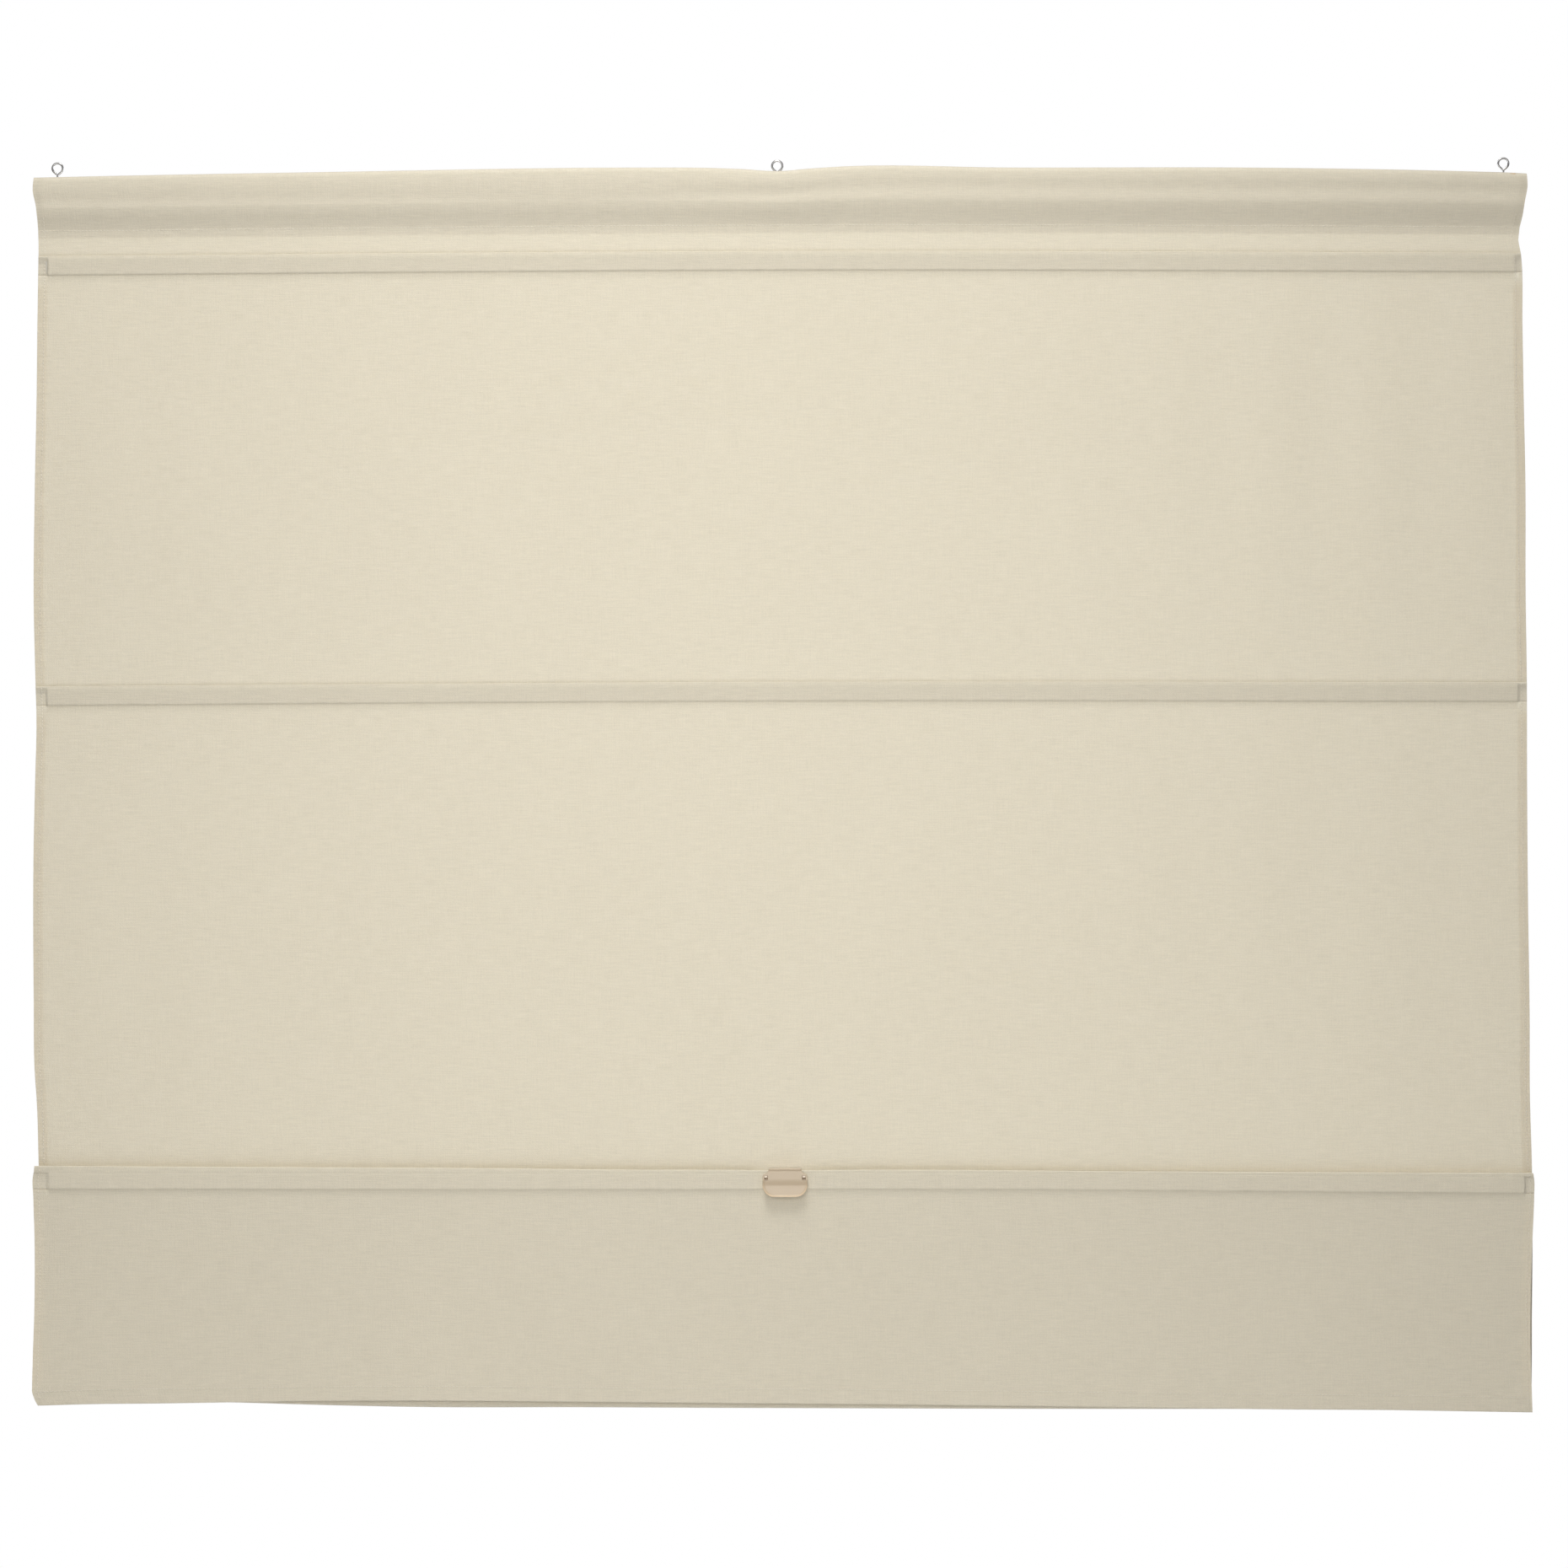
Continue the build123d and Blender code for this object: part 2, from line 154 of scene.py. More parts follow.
# ---------------------------------------------------------------- materials
class Shader:
    """A principled material and the texture nodes that feed it."""

    def __init__(self, name, colour, roughness, **sockets):
        self.material = bpy.data.materials.new(name)
        self.material.use_nodes = True
        self.tree = self.material.node_tree
        self.surface = self.tree.nodes["Principled BSDF"]
        self.colour = colour
        self.set("Base Color", (*colour, 1.0))
        self.set("Roughness", roughness)
        for socket, value in sockets.items():
            self.set(socket.replace("_", " "), value)

    def set(self, socket, value):
        self.surface.inputs[socket].default_value = value

    def link(self, output, target):
        self.tree.links.new(output, target)

    def place(self, scale, attribute=None):
        """Coordinates in metres times scale: the cloth's own flat ones, or the object's."""
        if attribute:
            source = self.tree.nodes.new("ShaderNodeAttribute")
            source.attribute_name = attribute
            vector = source.outputs["Vector"]
        else:
            vector = self.tree.nodes.new("ShaderNodeTexCoord").outputs["Object"]
        mapping = self.tree.nodes.new("ShaderNodeMapping")
        mapping.inputs["Scale"].default_value = scale
        self.link(vector, mapping.inputs["Vector"])
        return mapping.outputs["Vector"]

    def noise(self, vector, detail=2.0, dimensions="3D"):
        """Cloudy texture from 0 to 1 with features about one unit of vector wide."""
        node = self.tree.nodes.new("ShaderNodeTexNoise")
        node.noise_dimensions = dimensions
        node.inputs["Scale"].default_value = 1.0
        node.inputs["Detail"].default_value = detail
        self.link(vector, node.inputs["Vector"])
        return node.outputs["Fac"]

    def wave(self, vector, direction, distortion=0.0):
        """Sine bands from 0 to 1, with a period of a third of a unit of vector."""
        node = self.tree.nodes.new("ShaderNodeTexWave")
        node.bands_direction = direction
        node.inputs["Scale"].default_value = 1.0
        node.inputs["Distortion"].default_value = distortion
        self.link(vector, node.inputs["Vector"])
        return node.outputs["Fac"]

    def math(self, operation, first, second):
        node = self.tree.nodes.new("ShaderNodeMath")
        node.operation = operation
        for socket, value in zip(node.inputs, (first, second)):
            if isinstance(value, (int, float)):
                socket.default_value = value
            else:
                self.link(value, socket)
        return node.outputs[0]

    def total(self, parts):
        """Sum of (texture, weight) parts, each centred on 0."""
        result = None
        for texture, weight in parts:
            part = self.math("MULTIPLY", self.math("SUBTRACT", texture, 0.5), weight)
            result = part if result is None else self.math("ADD", result, part)
        return result

    def shade(self, factor):
        """The base colour made lighter or darker by factor, which is 0 on average."""
        node = self.tree.nodes.new("ShaderNodeVectorMath")
        node.operation = "SCALE"
        node.inputs[0].default_value = self.colour
        self.link(self.math("ADD", factor, 1.0), node.inputs["Scale"])
        self.link(node.outputs[0], self.surface.inputs["Base Color"])

    def rough(self, factor, middle):
        self.link(self.math("ADD", factor, middle), self.surface.inputs["Roughness"])

    def bump(self, height, distance):
        node = self.tree.nodes.new("ShaderNodeBump")
        node.inputs["Distance"].default_value = distance
        self.link(height, node.inputs["Height"])
        self.link(node.outputs["Normal"], self.surface.inputs["Normal"])


FLAT = "flat"               # the cloth's own coordinates: across, and along its length
WAVE_PERIOD = 2 * math.pi / 20      # of a wave texture at scale 1


def cloth_material():
    """Plain weave of slightly uneven yarn, with slubs both ways and a cloudy dye."""
    shader = Shader("cloth_weave", (0.738, 0.667, 0.525), 0.88,
                    Specular_IOR_Level=0.25, Sheen_Weight=0.12, Sheen_Roughness=0.6,
                    Subsurface_Weight=0.35, Subsurface_Radius=(1.0, 1.0, 1.0),
                    Subsurface_Scale=1.7 * MM)
    two_yarns = 1.5 * MM
    weave_scale = WAVE_PERIOD / two_yarns
    weave = shader.place((weave_scale, weave_scale, 1), FLAT)
    across = shader.wave(weave, "X")
    along = shader.wave(weave, "Y")
    over = shader.math("MULTIPLY", shader.math("SUBTRACT", across, 0.5),
                       shader.math("SUBTRACT", along, 0.5))
    weft = shader.noise(shader.place((60, 1100, 1), FLAT), 1, "2D")
    warp = shader.noise(shader.place((1100, 50, 1), FLAT), 1, "2D")
    slub = shader.noise(shader.place((40, 420, 1), FLAT), 1, "2D")
    grain = shader.noise(shader.place((700, 700, 1), FLAT), 1, "2D")
    cloud = shader.noise(shader.place((9, 7, 1), FLAT), 2, "2D")
    shader.shade(shader.total([
        (weft, 0.12), (warp, 0.08), (slub, 0.05), (grain, 0.10), (cloud, 0.02),
    ]))
    uneven = shader.total([(weft, 0.9), (warp, 0.7), (grain, 0.7)])
    shader.bump(shader.math("ADD", shader.math("MULTIPLY", over, 1.6), uneven), 0.12 * MM)
    return shader.material


def thread_material():
    """Sewing thread: three plies twisted together, a little paler than the cloth."""
    shader = Shader("sewing_thread", (0.82, 0.76, 0.645), 0.6, Sheen_Weight=0.2)
    twist = shader.wave(shader.place((900, 900, 900)), "DIAGONAL")
    shader.shade(shader.total([(twist, 0.12)]))
    shader.bump(twist, 0.05 * MM)
    return shader.material


def wire_material():
    """Nickel-plated wire, drawn lengthways and slightly dulled."""
    shader = Shader("plated_wire", (0.56, 0.545, 0.53), 0.3, Metallic=1.0)
    stain = shader.noise(shader.place((420, 420, 420)), 3)
    drawn = shader.noise(shader.place((2600, 2600, 500)), 2)
    shader.shade(shader.total([(stain, 0.22)]))
    shader.rough(shader.total([(drawn, 0.18), (stain, 0.2)]), 0.32)
    shader.bump(drawn, 0.02 * MM)
    return shader.material


def wood_material():
    """Planed pine with long grain and darker late wood."""
    shader = Shader("planed_pine", (0.60, 0.42, 0.235), 0.62)
    rings = shader.wave(shader.place((2.4, 70, 52)), "DIAGONAL", 3.5)
    fibre = shader.noise(shader.place((30, 1400, 1400)), 3)
    shader.shade(shader.total([(rings, 0.32), (fibre, 0.18)]))
    shader.bump(fibre, 0.08 * MM)
    return shader.material


def slat_material():
    """Extruded off-white plastic with fine lines along its length."""
    shader = Shader("slat_plastic", (0.72, 0.71, 0.67), 0.42)
    lines = shader.noise(shader.place((12, 1600, 1600)), 2)
    shader.shade(shader.total([(lines, 0.05)]))
    shader.rough(shader.total([(lines, 0.15)]), 0.42)
    shader.bump(lines, 0.02 * MM)
    return shader.material


# Mask of a painted highlight along the grip's lip edge.
HIGHLIGHT_ATTRIBUTE = "highlight_mask"                 # 1 at the edge of the grip's lip, and 0 away from it


def moulded_material(name, colour, highlight_paleness=0.0):
    """Satin moulded plastic with a fine spark-eroded grain and slight flow clouds.

    The grip's lip edge may be painted paler: a painted highlight in the base colour, not a colour of
    the plastic."""
    shader = Shader(name, colour, 0.3, Specular_IOR_Level=0.5)
    grain = shader.noise(shader.place((2600, 2600, 2600)), 2)
    flow = shader.noise(shader.place((90, 90, 140)), 2)
    patches_and_highlight = shader.total([(grain, 0.03), (flow, 0.05)])
    # Painted highlight: a paler base colour along the grip's lip edge stands in for the light that the
    # edge catches.
    if highlight_paleness:
        highlight_mask = shader.tree.nodes.new("ShaderNodeAttribute")
        highlight_mask.attribute_name = HIGHLIGHT_ATTRIBUTE
        painted_highlight = shader.math("MULTIPLY", highlight_mask.outputs["Fac"], highlight_paleness)
        patches_and_highlight = shader.math("ADD", patches_and_highlight, painted_highlight)
    shader.shade(patches_and_highlight)
    shader.rough(shader.total([(grain, 0.1), (flow, 0.08)]), 0.31)
    shader.bump(grain, 0.02 * MM)
    return shader.material


# ---------------------------------------------------------------- how the cloth hangs
# Each line gives, across the blind, how far the cloth or a slat lies above its straight
# place in the frame. Between the heights of two lines the value changes evenly.
top_line = ((-697, -1.0), (-667, -0.4), (-413, 3.5), (-128, 6.5), (-65, 6.0), (-33, 4.8),
            (0, 2.7), (30, 5.0), (55, 6.6), (220, 5.3), (442, 4.5), (569, 2.4), (640, 0.5),
            (690, -1.2), (703, -1.9))
stitch_line = ((-697, -0.8), (0, 2.4), (703, -1.6))
slat_lines = {
    "slat_1": ((-697, -0.2), (0, 2.2), (703, -1.8)),
    "slat_2": ((-697, 0.7), (0, 2.5), (703, -0.3)),
    "slat_3": ((-697, 4.0), (-14, 0.0), (22, 0.0), (703, -4.0)),
    "slat_4": ((-697, 2.6), (-14, 0.0), (22, 0.0), (703, -6.2)),
}
pleat_line = ((-697, 5.7), (-540, 6.8), (-413, 3.2), (-334, 1.5), (-192, 0.8), (-33, -0.5),
              (220, -2.2), (569, -3.4), (703, -4.0))
fold_line = ((-697, 6.9), (-480, 4.9), (-255, 2.8), (-140, 1.0), (-40, 0.4), (-14, 0.0),
             (22, 0.0), (60, 0.1), (350, -2.4), (703, -5.1))
hem_line = ((-697, 2.0), (-653, 3.1), (-579, 3.6), (-493, 4.6), (-400, 5.4), (-334, 5.3),
            (-223, 4.0), (-97, 2.4), (220, -1.7), (495, -5.9), (569, -6.6), (632, -7.9),
            (703, -9.3))
rear_heights = [(casing_top, top_line), (casing_stitch, stitch_line)]
for slat_name, seam in zip(upper_slats, seams):
    if slat_name == "slat_3":           # hidden behind the fold, whose line the cloth follows
        rear_heights.append((fold_top, fold_line))
    rear_heights.append((seam, slat_lines[slat_name]))
    rear_heights.append((seam - slat_drop, slat_lines[slat_name]))
rear_heights.append((pleat_bottom, pleat_line))
front_heights = [
    (fold_top, fold_line),
    (fold_seam - slat_inset, slat_lines["slat_4"]),
    (fold_seam - slat_drop, slat_lines["slat_4"]),
    (hem_edge, hem_line),
]

# The casing's loose front is drawn in along this line, below its top
valley_line = ((-697, -31), (-493, -32), (-334, -33), (-176, -35), (2, -29), (180, -25),
               (339, -26), (703, -25))

# How far the side edges lie to the right of their straight place, down the blind.
rear_left = ((-1166, -1.0), (-935, -0.3), (-882, -1.7), (-854, -3.6), (-790, -4.2),
             (-640, -3.8), (-577, -2.2), (-521, -0.7), (-480, -1.6), (-410, -2.9),
             (-310, -1.7), (-210, 0.6), (-150, 1.4), (-100, 2.3), (-65, 2.7), (-34, 0.6),
             (-20, -2.1), (-8, -1.3))
rear_right = ((-1166, 1.0), (-935, 2.6), (-870, 1.0), (-800, 1.1), (-690, -0.1), (-590, -0.6),
              (-480, -0.6), (-400, -1.4), (-300, -1.2), (-216, -2.6), (-150, -3.5),
              (-84, -4.7), (-66, -7.3), (-50, -3.7), (-34, -1.2), (-20, 1.3), (-8, 0.8))
front_left = ((-1166, 1.0), (-1160, -2.8), (-1154, -5.3), (-1130, -5.6), (-1075, -3.9),
              (-1000, -3.7), (-969, -4.6), (-946, -4.3), (-941, -2.6))
front_right = ((-1166, 1.7), (-1100, 0.0), (-1040, 0.8), (-1000, 2.4), (-965, 4.0),
               (-946, 3.8), (-941, 2.6))
EDGE_REACH = 240.0          # an edge's shift fades out over this width

# Faint drag wrinkles: from, to, depth and half-width
wrinkles = (
    ((-362, -272), (42, -236), 0.35, 11.0),
    ((-200, -214), (-50, -188), 0.30, 9.0),
    ((96, -302), (200, -282), 0.30, 9.0),
    ((-560, -690), (-360, -660), 0.25, 12.0),
    ((180, -760), (420, -800), 0.25, 13.0),
)


def between_heights(lines, x, z):
    """Rise at each row and column, between the lines above and below the row."""
    heights = np.array([height for height, _ in lines][::-1])
    rises = np.array([through(line, x) for _, line in lines][::-1])
    z = np.clip(z, heights[0], heights[-1])
    index = np.clip(np.searchsorted(heights, z) - 1, 0, len(heights) - 2)
    t = ((z - heights[index]) / (heights[index + 1] - heights[index]))[:, None]
    return rises[index] * (1 - t) + rises[index + 1] * t


def edge_shift(left, right, x, z):
    near_left = 1 - ramp(left_x, left_x + EDGE_REACH, x)
    near_right = ramp(right_x - EDGE_REACH, right_x, x)
    return through(left, z)[:, None] * near_left + through(right, z)[:, None] * near_right


def window(z, high, low):
    """0 at both ends of a panel and 1 in its middle, for each row."""
    t = np.clip((high - z) / (high - low), 0, 1)
    return np.sin(math.pi * t)[:, None]


def panel_depth(x, z):
    """How far the two upper panels lie behind their plane: slow swells and wrinkles."""
    first = window(z, seams[0] - slat_drop, seams[1])
    second = window(z, seams[1] - slat_drop, seams[2])
    swell = first * (1.2 * np.cos((x - 90) / 330) + 0.9 * bell(x, 520, 190) * np.sin(x / 15.5))
    swell += second * (-1.6 * np.cos((x + 120) / 400) + 0.6 * bell(x, 500, 200) * np.sin(x / 19))
    swell += (first + second) * 0.5 * bell(x, -610, 90) * np.sin(x / 14)
    for start, end, depth, width in wrinkles:
        along = np.array(end, dtype=float) - np.array(start, dtype=float)
        length = np.hypot(*along)
        along /= length
        off_x = x - start[0]
        off_z = (z - start[1])[:, None]
        distance = off_x * along[0] + off_z * along[1]
        aside = off_z * along[0] - off_x * along[1]
        fade = ramp(-40, 40, distance) * (1 - ramp(length - 40, length + 40, distance))
        swell += depth * fade * bell(aside, 0, width)
    return swell


def casing_depth(x, y, z):
    """The loose cloth bellies out over the batten and is drawn in at the middle eye."""
    front = ramp(1, 3, -y)[:, None] * ramp(casing_stitch, casing_stitch + 12, z)[:, None]
    amount = 0.9 + 0.5 * bell(x, -20, 60) + 0.3 * bell(x, 560, 120)
    rows = ramp(casing_top - 1.5, casing_top - 9, z) * ramp(casing_stitch + 1, casing_stitch + 15, z)
    valley = bell(z[:, None] - through(valley_line, x), 0, 5.5)
    belly = -amount * rows[:, None] * (1 - valley)
    pinch = 0.25 * bell(x, -4, 26) * bell(z, -28, 5)[:, None]
    beyond = ramp(slat_half + 2, half_width, np.abs(x - middle_x))
    inside = ramp(casing_stitch, casing_stitch + 6, z)[:, None]
    return front * (belly + pinch) - 0.2 * y[:, None] * beyond * inside


def crease_depth(x, y, z):
    """The cloth lies back in a crease just above each tuck, and behind the front fold."""
    depth = np.zeros((len(z), len(x)))
    from_clip = np.abs(x - clip_x)
    behind_fold = ramp(18, 28, from_clip) * (0.4 + 0.6 * bell(from_clip, 0, 380))
    on_run = ((y > -0.01) & (y < 1.0))[:, None]
    for seam, deep, reach, across in ((seams[0], 0.4, 2.6, 1), (seams[1], 0.5, 2.6, 1),
                                      (seams[2], 1.4, 6.3, behind_fold)):
        near = (z > seam - 0.9) & (z < seam + reach)
        recess = (deep * (1 - ramp(0.2, reach, z - seam)) * near)[:, None] * across
        depth += on_run * np.maximum(recess - y[:, None] * near[:, None], 0)
    return depth


def tuck_end_depth(x, y, z, plane_y, seam):
    """Past a slat's ends its tuck lies flat: three layers of cloth, with nothing inside."""
    beyond = ramp(slat_half + 0.3, slat_half + 2.0, np.abs(x - middle_x))
    near_y = plane_y - tuck_relief + layer_pitch
    inside = ramp(-0.9, -4, z - seam) * ramp(-slat_drop - 8, -slat_drop + 1, z - seam)
    flatten = np.interp(y, (near_y, plane_y + tuck_back), (1.5, -1.55))
    below = np.minimum(flatten, np.maximum(plane_y - y, 0))
    depth = np.where(z < seam - slat_drop - 1, below, flatten)
    in_tuck = (y > plane_y - tuck_relief - 1) & (y < plane_y + tuck_back + 0.1)
    in_groove = np.clip(y - plane_y + tuck_relief, 0, 0.2) * (np.abs(z - seam + 2.6) < 0.45)
    in_groove = in_groove * (y < plane_y - tuck_relief + 0.16)
    return (depth * inside * in_tuck - in_groove)[:, None] * beyond


def lower_depth(x, z, front):
    """The pleat and front panel sway together, and the front panel flares to its hem."""
    slat_bottom = fold_seam - slat_drop
    low = ramp(0, 1, (slat_bottom - z) / (slat_bottom - hem_edge))[:, None]
    sway = low * (0.9 * np.sin(x / 118 + 0.6) + 0.4 * np.sin(x / 47))
    flare = -front[:, None] * low * (0.8 + 2.2 * bell(x, left_x, 110) + 1.0 * bell(x, right_x, 90))
    return sway + flare


# ---------------------------------------------------------------- section of the cloth
def tuck(plane_y, seam_z, grooved=False):
    """Centreline from the back of a tuck, round its slat, to the cloth below the slat.

    Above its slat a tuck draws in to a narrow neck, or has only a groove along the slat."""
    front_y = plane_y - tuck_relief
    near_y = front_y + layer_pitch
    far_y = plane_y + tuck_back
    slat_bottom = seam_z - slat_drop
    fold_z = slat_bottom - pocket_clearance - half_cloth
    if grooved:
        neck_y = near_y
        near_side = [(near_y, seam_z - 3.1, 0.3), (near_y + 0.1, seam_z - 2.6, 0.3),
                     (near_y, seam_z - 2.1, 0.3)]
        front_side = [(front_y, seam_z - 2.1, 0.3), (front_y + 0.15, seam_z - 2.6, 0.3),
                      (front_y, seam_z - 3.1, 0.3)]
    else:
        neck_y = plane_y - layer_pitch
        near_side = [(near_y, seam_z - 2.2, 0.9), (neck_y, seam_z - 0.9, 0.9)]
        front_side = [(neck_y - layer_pitch, seam_z - 0.9, 0.9), (front_y, seam_z - 2.2, 0.9)]
    return [
        (far_y, seam_z - slat_inset, 0.9),
        (far_y, fold_z, fold_radius),
        (near_y, fold_z, fold_radius),
        *near_side,
        (neck_y, seam_z, turn_radius),
        (neck_y - layer_pitch, seam_z, turn_radius),
        *front_side,
        (front_y, slat_bottom + 0.1, 0.7),
        (plane_y - 0.55, slat_bottom - 1.0, 0.8),
        (plane_y, slat_bottom - 8.0, 10.0),
    ]


def casing_corners():
    """From the raw edge inside the casing's back, over the batten, to the front stitches."""
    inner_y = layer_pitch
    back_y = inner_y + layer_pitch
    return [
        (inner_y, casing_stitch + casing_turn, 0),
        (inner_y, casing_stitch - casing_turn, turn_radius),
        (back_y, casing_stitch - casing_turn, turn_radius),
        (back_y, casing_stitch + casing_turn, 8.0),
        (casing_y, batten_bottom - 2.0, 8.0),
        (casing_y, casing_top - 1.75, 3.0),
        (casing_y * 0.45, casing_top, 3.0),
        (-casing_y * 0.45, casing_top, 3.0),
        (-casing_y, casing_top - 1.75, 3.0),
        (-casing_y, batten_bottom - 2.0, 8.0),
        (0, casing_stitch + casing_turn, 8.0),
    ]


def pleat_top_corners():
    """Up the pleat's middle layer and over to the back of slat 4's tuck."""
    nose = np.array((panel_y + 0.3, fold_seam - 0.5))
    along = np.array((panel_y + tuck_back, fold_seam - slat_inset)) - nose
    along /= np.hypot(*along)
    upper_nose = nose + layer_pitch * np.array((-along[1], along[0]))
    reach = (middle_y - upper_nose[0]) / along[0]
    bend_z = upper_nose[1] + along[1] * reach
    return [(middle_y, bend_z, 1.0), (*upper_nose, turn_radius), (*nose, turn_radius)]


def hem_corners():
    """Down to the hem's edge, up its back and down again inside it."""
    edge = hem_edge + half_cloth
    inner_y = panel_y + layer_pitch
    back_y = inner_y + layer_pitch
    return [
        (panel_y, edge, 0.96 * layer_pitch),
        (back_y, edge, 0.96 * layer_pitch),
        (back_y, hem_edge + hem_depth, turn_radius),
        (inner_y, hem_edge + hem_depth, turn_radius),
        (inner_y, hem_edge + 2.0, 0),
    ]


def cloth_corners():
    """The whole centreline as (y, z, bend radius), from the casing to the hem."""
    pleat_edge = pleat_bottom + half_cloth
    pleat_radius = -0.48 * middle_y
    corners = casing_corners()
    for seam_z in seams:
        corners.append((0, seam_z - 0.3, 0.5))
        corners += tuck(0, seam_z)
    corners += [(0, pleat_edge, pleat_radius), (middle_y, pleat_edge, pleat_radius)]
    corners += pleat_top_corners()
    corners += tuck(panel_y, fold_seam, grooved=True)
    return corners + hem_corners()


def heading(start, end):
    return math.atan2(end[1] - start[1], end[0] - start[0])


def rounded(corners, longest, stops, arc_step=math.radians(34)):
    """Rows (y, z, heading) along a line with rounded corners.

    Straight runs are cut to the longest step, and at any of the stops that lie on them."""
    bends = [(corners[0][0], corners[0][1], heading(corners[0], corners[1]))]
    for before, corner, after in zip(corners, corners[1:], corners[2:]):
        first = heading(before, corner)
        turn = (heading(corner, after) - first + math.pi) % (2 * math.pi) - math.pi
        radius = corner[2]
        side = math.copysign(radius, turn)
        reach = radius * math.tan(abs(turn) / 2)
        start_y = corner[0] - reach * math.cos(first)
        start_z = corner[1] - reach * math.sin(first)
        centre_y = start_y - side * math.sin(first)
        centre_z = start_z + side * math.cos(first)
        count = max(1, round(abs(turn) / arc_step))
        for step in range(count + 1):
            angle = first + turn * step / count
            bends.append((centre_y + side * math.sin(angle), centre_z - side * math.cos(angle), angle))
    bends.append((corners[-1][0], corners[-1][1], heading(corners[-2], corners[-1])))
    rows = [bends[0]]
    for start, end in zip(bends, bends[1:]):
        length = math.hypot(end[0] - start[0], end[1] - start[1])
        straight = abs(math.sin((end[2] - start[2]) / 2)) < 1e-6
        if straight:
            pieces = math.ceil(length / longest)
            places = []
            for stop in stops:
                along = ((stop[0] - start[0]) * math.cos(end[2])
                         + (stop[1] - start[1]) * math.sin(end[2]))
                aside = ((stop[1] - start[1]) * math.cos(end[2])
                         - (stop[0] - start[0]) * math.sin(end[2]))
                if abs(aside) < 0.01 and 0.02 < along < length - 0.02:
                    places.append(along)
            plain = [length * step / pieces for step in range(1, pieces)]
            places += [place for place in plain
                       if min([abs(place - stop) for stop in places] + [longest]) > 1.0]
            for mark in sorted(place / length for place in places) + [1.0]:
                rows.append((start[0] + (end[0] - start[0]) * mark,
                             start[1] + (end[1] - start[1]) * mark, end[2]))
        else:
            rows.append(end)
    return np.array(rows)


# ---------------------------------------------------------------- cloth
EYE_HOLE = 1.7              # radius of the holes that the eyes' shanks pass through
HOLE_MARKS = (-EYE_HOLE, -0.7, 0.7, EYE_HOLE)
SLIT_HALF = 5.3             # half the width of the hook's buttonhole
SLIT_LOW = seams[2] + 0.1
SLIT_HIGH = seams[2] + 2.2
PLAIN_COLUMNS = 88          # keeps the cloth under 200,000 triangles


def column_places():
    """Where the cloth's columns of points lie across it, closer at edges and holes."""
    marks = []
    for edge in (-1, 1):
        for inset in (0, 1.5, 4, 7.4, side_hem_width - 0.1, side_hem_width + 0.1, 9.6, 10.6,
                      11.7, 12.9, 14.2, 16, 19, 24):
            marks.append(middle_x + edge * (half_width - inset))
        marks.append(clip_x + edge * SLIT_HALF)
    for place in eye_places.values():
        marks += [place + mark for mark in HOLE_MARKS]
    for step in (-40, -30, -22, -14, 14, 22, 30, 40):
        marks.append(step + clip_x)
    plain = np.linspace(left_x, right_x, PLAIN_COLUMNS)
    clear = [x for x in plain if min(abs(x - mark) for mark in marks) > 4]
    return np.array(sorted(marks + clear))


